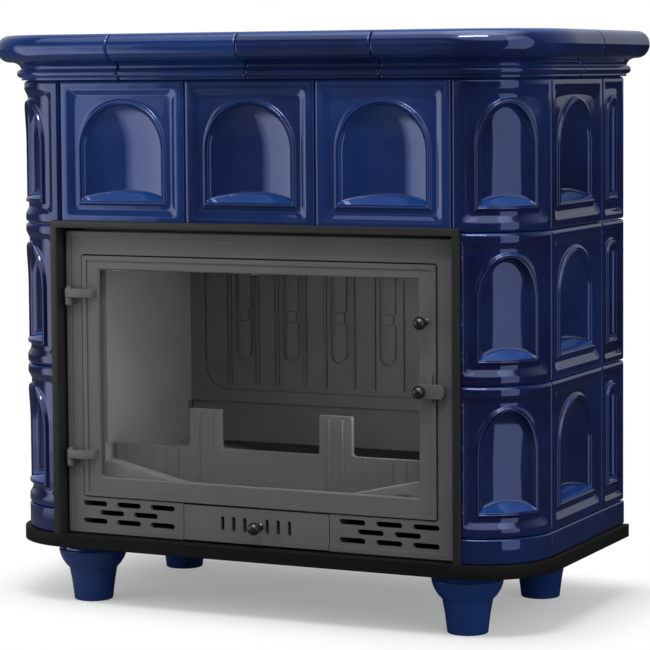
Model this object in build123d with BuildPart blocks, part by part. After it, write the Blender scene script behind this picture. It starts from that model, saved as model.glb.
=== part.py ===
from build123d import *
from math import atan2, cos, degrees, pi, radians, sin, sqrt
import os

# Tiled stove: a glazed tile case on turned feet, with a cast-iron fire insert in its front.
# X runs along the front, Y from front to back, Z up. The origin is on the floor, under the
# middle of the whole outline. All sizes are in millimetres.

# ---------------------------------------------------------------- tile case
front_tiles = 3            # full tiles along the front, over the insert
tile_rows = 3              # rows of tiles above the plinth
tile_pitch = 218.0         # width of a full tile with its joint
half_pitch = 100.0         # width of the narrow tile at the back of each side
row_pitch = 222.0          # height of a row with its joint
plinth_height = 37.5       # height of the plain plinth tiles
corner_radius = 112.0      # outer radius of the rounded corner tiles
tile_joint = 0.8           # mortar gap between two tiles
tile_depth = 42.0          # front of a tile to the back of its flange
tile_wall = 8.0            # thickness of a tile's web and flange
tile_edge = 2.0            # bevel around a tile's face
tile_border = 13.0         # flat raised border of a tile
tile_slope = 10.0          # width of the slope from the border to the field
tile_relief = 4.5          # depth of the field below the border

arch_side = 32.5           # side of a full tile to its arched moulding
arch_foot = 32.0           # bottom of a tile to the foot of its moulding
arch_head = 30.0           # top of a tile to the top of its moulding
arch_rim = 5.0             # width of the moulding
narrow_arch_side = 27.0    # side of a narrow tile to its moulding
corner_arch_side = 11.7    # side of a corner tile to its moulding, round the corner
niche_depth = 29.0         # deepest point of the niche behind the moulding
narrow_niche_depth = 12.0
corner_niche_depth = 34.0
niche_floor_rise = 0.5     # rise of the niche's floor for each mm towards the back

# ---------------------------------------------------------------- crown
crown_height = 70.0
crown_reach = 42.0         # how far the half-round nose stands out over the tiles
crown_back = 40.0          # how far the crown reaches in over the tiles
crown_wall = 13.0
crown_rebate = 12.0        # width of the step that carries the top plate
nose_radius = 21.0
bead_reach = 11.0          # how far the bead under the cove stands out
bead_height = 13.0
crown_sole = 30.0          # width of the crown's sole on the tiles
lip_height = 4.0
lip_reach = 4.0
cove_reach = 20.0

# ---------------------------------------------------------------- base and feet
foot_height = 94.0
foot_inset = 119.0         # side of the tiles to the centre of a foot
front_foot_set = 74.0      # front of the tiles to the centre of a front foot
rear_foot_inset = 58.0     # back of the case to the centre of a rear foot
foot_cup_diameter = 108.0
foot_neck_diameter = 76.0
foot_bottom_diameter = 61.0
foot_neck_height = 51.0    # floor to the neck, where the taper ends and the cup begins
base_thickness = 20.0
base_overhang = 8.0        # base plate beyond the tiles
base_skin = 4.0            # thickness of the base tray's sheet
stud_diameter = 12.0       # the stud on top of each foot
stud_length = 16.0
stud_clearance = 0.4
foot_cup_rise = 26.0       # neck to the widest part of the cup
foot_cup_bulge = 5.0       # cup's radius less its radius at half that rise

# ---------------------------------------------------------------- insert front
surround_lap = 14.5        # how far the angle frame covers the corner tiles
surround_rise = 6.5        # how far it covers the upper row of tiles
surround_face = 11.0       # width of the frame's front face
surround_proud = 8.0       # how far the frame stands in front of the tiles
surround_wall = 5.0
surround_depth = 24.0      # front of the tiles to the back of the frame's inner leg
surround_gap = 0.2
surround_corner = 2.0
fascia_recess = 12.0       # front of the tiles to the rim of the casting
fascia_side_gap = 4.5      # angle frame to the casting, on each side
fascia_top_gap = 5.0       # the same above it
fascia_foot = 1.5          # gap between the base plate and the casting
fascia_thickness = 10.0
rim_width = 9.5            # raised rim around the casting
rim_step = 2.0             # height of that rim
flange_width = 6.0         # wall of the flange behind the casting
door_side = 29.0           # side of the casting to the door
door_bottom = 60.5         # base plate to the door's lower edge
door_head = 38.5           # top of the casting to the door
door_gap = 2.2             # gap all round the door
door_corner = 5.0
door_depth = 18.0          # thickness of the door's edge
door_rim = 7.0             # raised rim around the door
stile_width = 28.0         # door's side to the window
low_rail = 30.5            # door's lower edge to the window
top_rail = 21.5            # door's upper edge to the window
window_corner = 6.0
window_lip = 8.0           # front of the door to the front of the glass
glass_thickness = 4.0
glass_lap = 9.0            # how far the glass reaches behind the window's edge
glass_seat = 10.0          # how far the glass's seat does
window_bevel = 2.0
clip_spacing = 240.0       # between the glass clips of a row
clip_width = 18.0
clip_reach = 12.0
clip_thickness = 1.5
rope_inset = 3.0           # door's edge to its rope groove
rope_width = 6.0
rope_groove = 5.0          # depth of that groove

hinge_setback = 20.0       # door's left edge to the hinge axis
hinge_proud = 7.0          # hinge axis in front of the casting's rim
hinge_low = 65.0           # door's lower edge to the middle of the lower arm
hinge_drop = 57.5          # door's upper edge to the middle of the upper arm
hinge_arm_height = 13.0
hinge_arm_thickness = 8.0
hinge_arm_reach = 43.0     # hinge axis to the arm's far end
pin_diameter = 6.0
pin_clearance = 0.3
pin_seat = 0.1             # play of a pin in its lug
pin_head_radius = 4.5
pin_head_height = 3.0
hinge_eye_radius = 6.0
lug_diameter = 11.0
lug_height = 12.0

knob_diameter = 20.0
knob_stand = 22.0          # stile face to the centre of a knob
knob_neck_radius = 3.8
knob_collar_radius = 5.5
knob_collar = 1.5          # height of the cone at the foot of a knob
latch_knob_stand = 11.0    # lever's face to the centre of its knob
pull_knob_drop = 83.5      # door's upper edge to the pull knob
knob_inset = 16.5          # door's right edge to the centre of the pull knob
latch_drop = 184.0         # door's upper edge to the latch
latch_inset = 18.5         # door's right edge to the latch pivot
latch_width = 21.0
latch_reach = 35.5         # latch pivot to the end of its nose
latch_tail = 5.5           # latch pivot to the lever's other end
latch_nose_radius = 5.0    # how far the rounded nose bulges
latch_shank_radius = 4.0
latch_boss_radius = 7.0
latch_rib_offset = 9.5     # pivot to the middle of the rub strip beside it
latch_rib_rise = 4.0
latch_thickness = 5.0
latch_lift = 4.0           # back of the lever in front of the rims
latch_rib_height = 41.0
latch_rib_width = 8.5
latch_clearance = 0.4      # lever to the pads behind it
keeper_width = 9.0
keeper_set = 8.0           # end of the nose to the middle of its keeper

drawer_width = 245.0
drawer_gap = 1.2
drawer_foot = 3.5          # base plate to the drawer front's lower edge
drawer_front_thickness = 8.0
drawer_band = 7.5          # height of the moulding along its lower edge
pan_depth = 240.0
pan_wall = 1.5
pan_foot = 5.3             # base plate to the pan's underside
pan_height = 39.7
pan_inset = 6.0            # drawer front's end to the pan's side
slider_slots = 6
slider_pitch = 18.8
slider_slot_width = 6.0
slider_slot_height = 23.0
slider_thickness = 2.5
slider_length = 150.0
slider_height = 33.0
slider_level = 31.5        # base plate to the middle of the air slots
slider_gap = 0.3
slider_knob_x = 8.0        # place of its knob when the slots are open
slider_stem_radius = 2.5
slider_stem_proud = 2.0    # drawer front to the foot of the knob
slider_travel = 9.4
grille_slot_length = 42.5
grille_slot_width = 8.5
grille_pitch = 59.6        # between slots in a row of the grille
grille_row_pitch = 13.7
grille_middle = 34.5       # base plate to the grille's middle row

# ---------------------------------------------------------------- firebox
shell_wall = 5.0
shell_side = 18.0          # side of the casting to the shell
shell_head = 10.0          # top of the angle frame to the shell
shell_back_gap = 67.0      # back of the shell to the back of the case
panel_gap = 0.2            # between the shell's panels, for their welds
seal_space = 3.0           # door's back to the shell's front plate
seal_land = 14.0           # door's side to the opening behind it
seal_head = 15.5           # door's upper edge to that opening
ash_opening_height = 51.0
air_opening_set = 17.5     # side of the drawer to the openings behind the air slots
rail_clearance = 0.5       # ash pan to the rails beside it
rail_width = 5.0
rail_height = 8.0
ledge_width = 15.0         # shelves inside the shell that carry the hearth
ledge_thickness = 6.0
hearth_foot = 62.0         # base plate to the underside of the hearth
hearth_floor = 84.0        # base plate to the middle of the hearth
hearth_shoulder = 112.0    # base plate to the hearth's raised sides and back
hearth_thickness = 10.0
hearth_clearance = 0.5
hearth_flat_half = 140.0   # half width of the flat middle
hearth_slope_set = 8.0     # foot of a side liner to the top of the slope
liner_set = 38.0           # outside of the shell to the face of a side liner
liner_back_set = 52.0      # outside of the shell to the face of the back liner
liner_thickness = 12.0
liner_front = 40.0         # front of the tiles to the side liners
oval_pitch = 86.0          # between the long ovals of the back liner
oval_width = 32.0
oval_bottom = 246.0
oval_groove_width = 5.0
oval_groove_depth = 3.0
boss_level = 320.0         # base plate to the square boss in each oval
boss_size = 15.0
rib_width = 4.0            # the upright ribs between the ovals
rib_set = 25.0             # middle of an oval to the ribs beside it
panel_inset = 27.0         # side liner to the back liner's sunken panel
panel_bottom = 197.0
panel_bottom_gap = 5.0     # panel's lower edge to the foot of the ribs
panel_corner = 40.0
liner_relief = 4.0         # depth of the back liner's panel
liner_step = 177.0         # height at which the back liner steps back
liner_step_front = 141.0   # the side liners' step at their front end
liner_step_depth = 6.0
liner_rise = 22.0          # fire opening to the top of the liners
baffle_depth = 190.0
baffle_thickness = 10.0
retainer_face = 62.0       # front of the tiles to the face of the log retainer
retainer_thickness = 9.0
retainer_top = 198.0
retainer_wing_top = 138.0
retainer_gap = 2.0         # end of the retainer to the side liner
notch_corner = 6.0         # rounding at the foot of the posts
wing_ribs = 5              # upright ribs on each low wing
wing_rib_pitch = 22.0
wing_rib_width = 4.0
wing_rib_rise = 2.0
post_rib_set = 16.0        # side of a post to its rib
post_inner = 84.0          # middle to the inner side of a post
post_outer = 138.0
grate_width = 236.0
grate_depth = 196.0
grate_bars = 9
grate_set = 180.0          # front of the tiles to the centre of the grate
grate_thickness = 6.0
grate_lap = 20.0           # grate's size less the opening under it
grate_gap = 4.0
flue_diameter = 180.0      # outside of the flue collar
flue_wall = 3.0
flue_set = 232.0           # front of the tiles to the centre of the flue
flue_flange = 22.0
flue_clearance = 0.8
top_plate_thickness = 4.0
sheet_thickness = 2.0
vent_length = 70.0         # cooling slots in the back panel
vent_width = 8.0
vent_pitch = 20.0          # between two rows of slots
vent_edge = 60.0           # panel's edge to the middle of the rows
back_vents = 4

# ---------------------------------------------------------------- derived places
case_half = front_tiles * tile_pitch / 2 + corner_radius
case_depth = corner_radius + tile_pitch + half_pitch
half_front = front_tiles * tile_pitch / 2
face_y = -(case_depth - crown_reach) / 2
back_y = face_y + case_depth
deck_z = foot_height + base_thickness
tile_top_z = deck_z + plinth_height + tile_rows * row_pitch
crown_top_z = tile_top_z + crown_height
corner_y = face_y + corner_radius
arch_width = tile_pitch - 2 * arch_side
arch_height = row_pitch - arch_foot - arch_head
narrow_arch_width = half_pitch - 2 * narrow_arch_side
corner_arch_turn = pi / 4 - corner_arch_side / corner_radius
corner_arch_width = 2 * corner_radius * sin(corner_arch_turn)
foot_x = case_half - foot_inset
front_foot_y = face_y + front_foot_set
rear_foot_y = back_y - rear_foot_inset

rim_y = face_y + fascia_recess
field_y = rim_y + rim_step
surround_width = 2 * (half_front + surround_lap)
surround_top = plinth_height + (tile_rows - 1) * row_pitch + surround_rise
fascia_width = surround_width - 2 * (surround_face + fascia_side_gap)
fascia_top = surround_top - surround_face - fascia_top_gap
door_width = fascia_width - 2 * door_side
door_top = fascia_top - door_head
window_width = door_width - 2 * stile_width
window_bottom = door_bottom + low_rail
window_top = door_top - top_rail
hinge_levels = (deck_z + door_bottom + hinge_low, deck_z + door_top - hinge_drop)
pull_knob_z = deck_z + door_top - pull_knob_drop
latch_z = deck_z + door_top - latch_drop
grille_outset = (drawer_width / 2 + drawer_gap + fascia_width / 2 - rim_width) / 2
hinge_x = -door_width / 2 - hinge_setback
hinge_y = rim_y - hinge_proud
knob_x = door_width / 2 - knob_inset
latch_x = door_width / 2 - latch_inset
door_back_y = rim_y + door_depth
shell_y = door_back_y + seal_space
glass_y = rim_y + window_lip
latch_back_y = rim_y - latch_lift

shell_width = fascia_width - 2 * shell_side
shell_height = surround_top - shell_head
shell_depth = back_y - shell_back_gap - shell_y
shell_half = shell_width / 2 - shell_wall
fire_opening_width = door_width - 2 * seal_land
fire_opening_top = door_top - seal_head
air_opening_inner = drawer_width / 2 + air_opening_set
firebox_half = shell_width / 2 - liner_set
hearth_slope_half = firebox_half - hearth_slope_set
retainer_half = firebox_half - retainer_gap
slope_rise = (hearth_shoulder - hearth_floor) / (hearth_slope_half - hearth_flat_half)
back_face_y = shell_y + shell_depth - liner_back_set
liner_top = fire_opening_top + liner_rise


def front_plane(x, z, y=face_y):
    """A plane that faces the front of the stove, X to the right and Z up."""
    return Plane(origin=(x, y, z), x_dir=(1, 0, 0), z_dir=(0, -1, 0))


def side_plane(side, y, z):
    """A plane on the right (1) or left (-1) side of the case, facing outwards."""
    return Plane(origin=(side * case_half, y, z), x_dir=(0, side, 0), z_dir=(side, 0, 0))


def radial_plane(angle, z=0.0):
    """An upright plane through the right corner's axis, x outwards, turned from the front."""
    turn = radians(angle)
    return Plane(
        origin=(half_front, corner_y, z),
        x_dir=(sin(turn), -cos(turn), 0),
        z_dir=(-cos(turn), -sin(turn), 0),
    )


def finish(piece, name):
    """Labels a finished piece and writes it as its own file."""
    piece.label = name
    export_step(piece, f"parts/{name}.step")


def arch(width, height):
    """An arch outline: straight sides on its foot line, and a half circle on top."""
    radius = width / 2
    spring = height - radius
    with BuildSketch() as outline:
        with BuildLine():
            Polyline((-radius, spring), (-radius, 0), (radius, 0), (radius, spring))
            ThreePointArc((radius, spring), (0, height), (-radius, spring))
        make_face()
    return outline.sketch


def raised(plane, height):
    """The same plane, moved along its own y direction."""
    return Plane(origin=plane.origin + plane.y_dir * height, x_dir=plane.x_dir, z_dir=plane.z_dir)


def niche_cutter(face, width, height, depth, edge_depth=0.0):
    """The hollow behind an arch: a shallow upright cylinder with a floor that rises inwards."""
    half = width / 2
    sagitta = depth - edge_depth
    hollow_radius = (half**2 + sagitta**2) / (2 * sagitta)
    outline = arch(width, height)
    level = Plane(origin=face.origin, x_dir=face.x_dir, z_dir=face.y_dir)
    upright = Plane(origin=face.origin, x_dir=face.z_dir, z_dir=-face.x_dir)
    with BuildPart() as niche:
        with BuildSketch(face):
            add(outline)
        extrude(amount=-depth - tile_relief)
        with BuildSketch(level):
            with Locations((0, depth - hollow_radius)):
                Circle(hollow_radius)
        extrude(amount=height, mode=Mode.INTERSECT)
        with BuildSketch(upright):
            with BuildLine():
                Polyline((0, 0), (-2 * depth, 2 * depth * niche_floor_rise), (-2 * depth, 0), close=True)
            make_face()
        extrude(amount=half + tile_edge, both=True, mode=Mode.SUBTRACT)
    return niche.part


def flat_tile(face, width, arch_span, depth):
    """A flat tile: raised border, sunken field and arched niche, with a flange behind."""
    height = row_pitch - tile_joint
    visible = width - tile_joint
    narrow = arch_span < arch_width
    border = tile_border * (0.7 if narrow else 1)
    slope = tile_slope * (0.6 if narrow else 1)
    foot_face = raised(face, arch_foot - height / 2)
    niche = niche_cutter(
        raised(foot_face, arch_rim), arch_span - 2 * arch_rim, arch_height - 2 * arch_rim, depth
    )
    with BuildPart() as back_hollow:
        with BuildSketch(face.offset(-tile_depth)):
            Rectangle(visible - 2 * tile_wall, height - 2 * tile_wall)
        extrude(amount=tile_depth - tile_relief - tile_wall)
        with BuildSketch(raised(foot_face, arch_height / 2).offset(-depth - tile_wall)):
            Rectangle(arch_span, arch_height)
        extrude(amount=depth, mode=Mode.SUBTRACT)
    with BuildPart() as tile:
        with BuildSketch(face):
            Rectangle(visible, height)
        extrude(amount=-tile_depth)
        chamfer(tile.faces().sort_by(Axis(face.origin, face.z_dir))[-1].edges(), tile_edge)
        with BuildSketch(face):
            Rectangle(visible - 2 * border, height - 2 * tile_border)
        with BuildSketch(face.offset(-tile_relief)):
            Rectangle(visible - 2 * (border + slope), height - 2 * (tile_border + tile_slope))
        loft(mode=Mode.SUBTRACT)
        with BuildSketch(foot_face.offset(-tile_relief)):
            add(arch(arch_span, arch_height))
        extrude(amount=tile_relief)
        add(niche, mode=Mode.SUBTRACT)
        add(back_hollow.part, mode=Mode.SUBTRACT)
    return tile.part


def corner_ring(profile, start, end):
    """Turns an upright profile about the right corner's axis between two angles."""
    with BuildPart() as ring:
        with BuildSketch(radial_plane(start)):
            with BuildLine():
                Polyline(*profile, close=True)
            make_face()
        revolve(axis=Axis((half_front, corner_y, 0), (0, 0, 1)), revolution_arc=end - start)
    return ring.part


def upright_band(inner, outer, bottom, height, edge=0.0):
    """The section of a ring, its two outer corners bevelled by edge where one is given."""
    top = bottom + height
    if not edge:
        return (inner, bottom), (outer, bottom), (outer, top), (inner, top)
    return (
        (inner, bottom),
        (outer - edge, bottom),
        (outer, bottom + edge),
        (outer, top - edge),
        (outer - edge, top),
        (inner, top),
    )


def corner_tile(bottom, start):
    """The right corner's tile: a quarter round with the same border, moulding and niche."""
    height = row_pitch - tile_joint
    end = 90 - degrees(tile_joint / 2 / corner_radius)
    side_border = degrees(tile_border / corner_radius)
    side_slope = degrees(tile_slope / corner_radius)
    floor = corner_radius - tile_relief
    outside = corner_radius + tile_edge
    first = degrees(tile_joint / 2 / corner_radius)
    diagonal = Plane(
        origin=(
            half_front + corner_radius * sin(radians(45)),
            corner_y - corner_radius * cos(radians(45)),
            bottom + arch_foot,
        ),
        x_dir=(cos(radians(45)), sin(radians(45)), 0),
        z_dir=(sin(radians(45)), -cos(radians(45)), 0),
    )
    half = corner_arch_width / 2
    edge_depth = corner_radius - sqrt(corner_radius**2 - half**2)
    inner_span = corner_arch_width - 2 * arch_rim
    niche = niche_cutter(
        raised(diagonal, arch_rim), inner_span, arch_height - 2 * arch_rim, corner_niche_depth, edge_depth
    )
    body = corner_ring(
        upright_band(corner_radius - tile_depth, corner_radius, bottom, height, tile_edge), start, end
    )
    step = corner_ring(
        (
            (floor, bottom + tile_border + tile_slope),
            (corner_radius, bottom + tile_border),
            (outside, bottom + tile_border),
            (outside, bottom + height - tile_border),
            (corner_radius, bottom + height - tile_border),
            (floor, bottom + height - tile_border - tile_slope),
        ),
        first + side_border + side_slope / 2,
        end - side_border - side_slope / 2,
    )
    band = corner_ring(upright_band(floor - tile_edge, corner_radius, bottom, height), start, end)
    with BuildPart() as moulding:
        with BuildSketch(diagonal):
            add(arch(corner_arch_width, arch_height))
        extrude(amount=-corner_radius / 2)
        add(band, mode=Mode.INTERSECT)
    with BuildPart() as tile:
        add(body)
        add(step, mode=Mode.SUBTRACT)
        add(moulding.part)
        add(niche, mode=Mode.SUBTRACT)
    return tile.part


def to_left(piece):
    """The same piece on the left side of the stove."""
    with BuildPart() as left:
        add(mirror(piece, about=Plane.YZ, mode=Mode.PRIVATE))
    return left.part


# ---------------------------------------------------------------- tiles
def make_tiles():
    """Front, side, narrow and corner tiles, row by row, then the plain plinth under them."""
    sides = (("right", 1), ("left", -1))
    rows = ("lower", "middle", "upper")
    first_row = deck_z + plinth_height
    full_start = degrees(tile_joint / 2 / corner_radius)
    frame_cut = surround_width / 2 - surround_face + surround_wall + surround_gap - half_front
    cut_start = degrees(atan2(frame_cut, corner_radius - surround_depth))
    upper_middle = first_row + (tile_rows - 0.5) * row_pitch
    for name, place in (("left", -1), ("middle", 0), ("right", 1)):
        face = front_plane(place * tile_pitch, upper_middle)
        finish(flat_tile(face, tile_pitch, arch_width, niche_depth), f"front_tile_{name}")
    for row, level in enumerate(rows):
        bottom = first_row + row * row_pitch + tile_joint / 2
        middle = first_row + (row + 0.5) * row_pitch
        start = full_start if row == tile_rows - 1 else cut_start
        corner = corner_tile(bottom, start)
        finish(to_left(corner), f"corner_tile_{level}_left")
        finish(corner, f"corner_tile_{level}_right")
        for name, side in sides:
            wide_face = side_plane(side, corner_y + tile_pitch / 2, middle)
            narrow_face = side_plane(side, back_y - half_pitch / 2, middle)
            wide = flat_tile(wide_face, tile_pitch, arch_width, niche_depth)
            narrow = flat_tile(narrow_face, half_pitch, narrow_arch_width, narrow_niche_depth)
            finish(wide, f"side_tile_{level}_{name}")
            finish(narrow, f"narrow_tile_{level}_{name}")
    for name, side in sides:
        finish(plinth(side, cut_start), f"plinth_tiles_{name}")


def plinth(side, start):
    """The three plain tiles at the foot of one side: corner, full and narrow."""
    height = plinth_height - tile_joint
    bottom = deck_z + tile_joint / 2
    band = upright_band(corner_radius - tile_depth, corner_radius, bottom, height, tile_edge)
    end = 90 - degrees(tile_joint / 2 / corner_radius)
    corner = corner_ring(band, start, end)
    middle = bottom + height / 2
    faces = (
        (side_plane(1, corner_y + tile_pitch / 2, middle), tile_pitch),
        (side_plane(1, back_y - half_pitch / 2, middle), half_pitch),
    )
    with BuildPart() as tiles:
        add(corner)
        for face, width in faces:
            with BuildSketch(face):
                Rectangle(width - tile_joint, height)
            extrude(amount=-tile_depth)
        outer = tiles.faces().filter_by(Axis.X).group_by(Axis.X)[-1]
        chamfer(outer.edges(), tile_edge)
    return to_left(tiles.part) if side < 0 else tiles.part


# ---------------------------------------------------------------- crown
def crown_section(offset=0.0):
    """The crown's section, x outwards from the tile faces and y up from the tiles."""
    nose_foot = crown_height - 2 * nose_radius
    nose_centre = crown_reach - nose_radius
    bead_middle = lip_height + bead_height / 2
    bead_top = lip_height + bead_height
    bead_root = bead_reach - bead_height / 2
    cove_middle = (cove_reach - bead_root) * (1 - cos(radians(45)))
    web_top = crown_height - top_plate_thickness - crown_wall
    with BuildSketch() as section:
        with BuildLine():
            Polyline((offset - crown_sole, 0), (offset + lip_reach, 0), (offset + lip_reach, lip_height))
            Line((offset + lip_reach, lip_height), (offset + bead_root, lip_height))
            ThreePointArc(
                (offset + bead_root, lip_height),
                (offset + bead_reach, bead_middle),
                (offset + bead_root, bead_top),
            )
            ThreePointArc(
                (offset + bead_root, bead_top),
                (offset + bead_root + cove_middle, nose_foot - cove_middle),
                (offset + cove_reach, nose_foot),
            )
            Line((offset + cove_reach, nose_foot), (offset + nose_centre, nose_foot))
            ThreePointArc(
                (offset + nose_centre, nose_foot),
                (offset + crown_reach, nose_foot + nose_radius),
                (offset + nose_centre, crown_height),
            )
            Polyline(
                (offset + nose_centre, crown_height),
                (offset + crown_rebate - crown_back, crown_height),
                (offset + crown_rebate - crown_back, crown_height - top_plate_thickness),
                (offset - crown_back, crown_height - top_plate_thickness),
                (offset - crown_back, web_top),
                (offset - crown_wall, web_top),
                (offset - crown_wall, crown_wall),
                (offset - crown_sole, crown_wall),
                (offset - crown_sole, 0),
            )
        make_face()
    return section.sketch


def crown_front(x):
    """An upright plane across the front's crown at x, its x direction pointing outwards."""
    return Plane(origin=(x, face_y, tile_top_z), x_dir=(0, -1, 0), z_dir=(-1, 0, 0))


def crown_side(y):
    """The same across the right side's crown at y."""
    return Plane(origin=(case_half, y, tile_top_z), x_dir=(1, 0, 0), z_dir=(0, -1, 0))


def crown_length(plane, length):
    """A straight length of crown that starts on a plane and runs against its normal."""
    with BuildPart() as straight:
        with BuildSketch(plane):
            add(crown_section())
        extrude(amount=-length)
    return straight.part


def make_crown():
    """Two straight front pieces, two corner pieces and two side pieces."""
    half_joint = tile_joint / 2
    corner_return = tile_pitch / 2
    side_start = corner_y + corner_return + half_joint
    front = crown_length(crown_front(half_joint), tile_pitch - tile_joint)
    side = crown_length(crown_side(side_start), back_y - side_start)
    with BuildPart() as corner:
        add(crown_length(crown_front(half_front - corner_return + half_joint), corner_return - half_joint))
        with BuildSketch(radial_plane(0, tile_top_z)):
            add(crown_section(corner_radius))
        revolve(axis=Axis((half_front, corner_y, 0), (0, 0, 1)), revolution_arc=90)
        add(crown_length(crown_side(corner_y), corner_return - half_joint))
    for name, piece in (("front", front), ("corner", corner.part), ("side", side)):
        finish(to_left(piece), f"crown_{name}_left")
        finish(piece, f"crown_{name}_right")


def case_outline(grow, back_wall=0.0):
    """The case seen from above, grown by grow on its front and sides, less a wall at its back."""
    depth = case_depth + grow - back_wall
    with BuildSketch() as outline:
        with Locations((0, back_y - back_wall - depth / 2)):
            Rectangle(2 * (case_half + grow), depth)
        fillet(outline.vertices().group_by(Axis.Y)[0], corner_radius + grow)
    return outline.sketch


def make_top_plate():
    """The steel plate that closes the top, seated in the crown's step round the flue."""
    inset = crown_back - crown_rebate + tile_joint / 2
    plate_z = crown_top_z - top_plate_thickness
    with BuildPart() as plate:
        with BuildSketch(Plane.XY.offset(plate_z)):
            add(case_outline(-inset))
            with Locations((0, face_y + flue_set)):
                Circle(flue_diameter / 2 + flue_clearance, mode=Mode.SUBTRACT)
        extrude(amount=top_plate_thickness)
    finish(plate.part, "top_plate")


def make_back_panel():
    """The sheet that closes the back from the base up to the top plate, with cooling slots."""
    width = 2 * (case_half - tile_depth) - tile_joint
    bottom = deck_z + tile_joint / 2
    height = crown_top_z - top_plate_thickness - tile_joint / 2 - bottom
    middle = bottom + height / 2
    with BuildPart() as panel:
        with BuildSketch(front_plane(0, middle, back_y)):
            Rectangle(width, height)
            for place in (-1, 1):
                with Locations((0, place * (height / 2 - vent_edge))):
                    with GridLocations(2 * vent_length, vent_pitch, back_vents, 2):
                        Rectangle(vent_length, vent_width, mode=Mode.SUBTRACT)
        extrude(amount=sheet_thickness)
    finish(panel.part, "back_panel")


# ---------------------------------------------------------------- base and feet
def foot_places():
    """The four foot centres with the names of their corners."""
    for side, side_name in ((-1, "left"), (1, "right")):
        yield side * foot_x, front_foot_y, f"front_{side_name}"
        yield side * foot_x, rear_foot_y, f"rear_{side_name}"


def make_base():
    """A tray that carries the tiles and the insert, with a bored cross rib over the feet."""
    with BuildPart() as base:
        with BuildSketch(Plane.XY.offset(foot_height)):
            add(case_outline(base_overhang))
        extrude(amount=base_thickness)
        with BuildSketch(Plane.XY.offset(foot_height)):
            add(case_outline(base_overhang - base_skin, base_skin))
        extrude(amount=base_thickness - base_skin, mode=Mode.SUBTRACT)
        with BuildSketch(Plane.XY.offset(foot_height)):
            with Locations((0, front_foot_y), (0, rear_foot_y)):
                Rectangle(2 * foot_x + foot_neck_diameter, foot_neck_diameter)
        extrude(amount=base_thickness - base_skin / 2)
        with BuildSketch(Plane.XY.offset(foot_height)):
            for x, y, _ in foot_places():
                with Locations((x, y)):
                    Circle(stud_diameter / 2 + stud_clearance)
        extrude(amount=base_thickness, mode=Mode.SUBTRACT)
    finish(base.part, "base_plate")


def make_feet():
    """Turned feet: a tapered stem under a wide cup, with a stud that screws into the base."""
    cup_radius = foot_cup_diameter / 2
    neck_radius = foot_neck_diameter / 2
    stud_radius = stud_diameter / 2
    for x, y, name in foot_places():
        upright = Plane(origin=(x, y, 0), x_dir=(1, 0, 0), z_dir=(0, -1, 0))
        with BuildPart() as foot:
            with BuildSketch(upright):
                with BuildLine():
                    Polyline((0, 0), (foot_bottom_diameter / 2, 0), (neck_radius, foot_neck_height))
                    ThreePointArc(
                        (neck_radius, foot_neck_height),
                        (cup_radius - foot_cup_bulge, foot_neck_height + foot_cup_rise / 2),
                        (cup_radius, foot_neck_height + foot_cup_rise),
                    )
                    Polyline(
                        (cup_radius, foot_neck_height + foot_cup_rise),
                        (cup_radius, foot_height),
                        (stud_radius, foot_height),
                        (stud_radius, foot_height + stud_length),
                        (0, foot_height + stud_length),
                        (0, 0),
                    )
                make_face()
            revolve(axis=Axis((x, y, 0), (0, 0, 1)))
        finish(foot.part, f"foot_{name}")


# ---------------------------------------------------------------- insert front
def make_surround():
    """The angle frame round the insert: a flat face over the tiles' edges, a leg behind it."""
    inner_half = surround_width / 2 - surround_face
    inner_top = surround_top - surround_face
    leg_top = inner_top + surround_wall - surround_gap
    with BuildPart() as surround:
        with BuildSketch(front_plane(0, deck_z, face_y - surround_proud)):
            with Locations((0, surround_top / 2)):
                Rectangle(surround_width, surround_top)
        extrude(amount=-(surround_proud - surround_gap))
        fillet(surround.edges().filter_by(Axis.Y).group_by(Axis.Z)[-1], surround_corner)
        with BuildSketch(front_plane(0, deck_z, face_y - surround_gap)):
            with Locations((0, leg_top / 2)):
                Rectangle(2 * (inner_half + surround_wall), leg_top)
        extrude(amount=-surround_depth)
        with BuildSketch(front_plane(0, deck_z, face_y - surround_proud)):
            with Locations((0, inner_top / 2)):
                Rectangle(2 * inner_half, inner_top)
        extrude(amount=-surround_proud - surround_depth, mode=Mode.SUBTRACT)
    finish(surround.part, "insert_surround")


def grille_places():
    """Centres of the air slots in the two lower panels: rows of three, two and three."""
    for side in (-1, 1):
        for row, count in ((1, 3), (0, 2), (-1, 3)):
            for index in range(count):
                x = side * grille_outset + (index - (count - 1) / 2) * grille_pitch
                yield x, deck_z + grille_middle + row * grille_row_pitch


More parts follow.
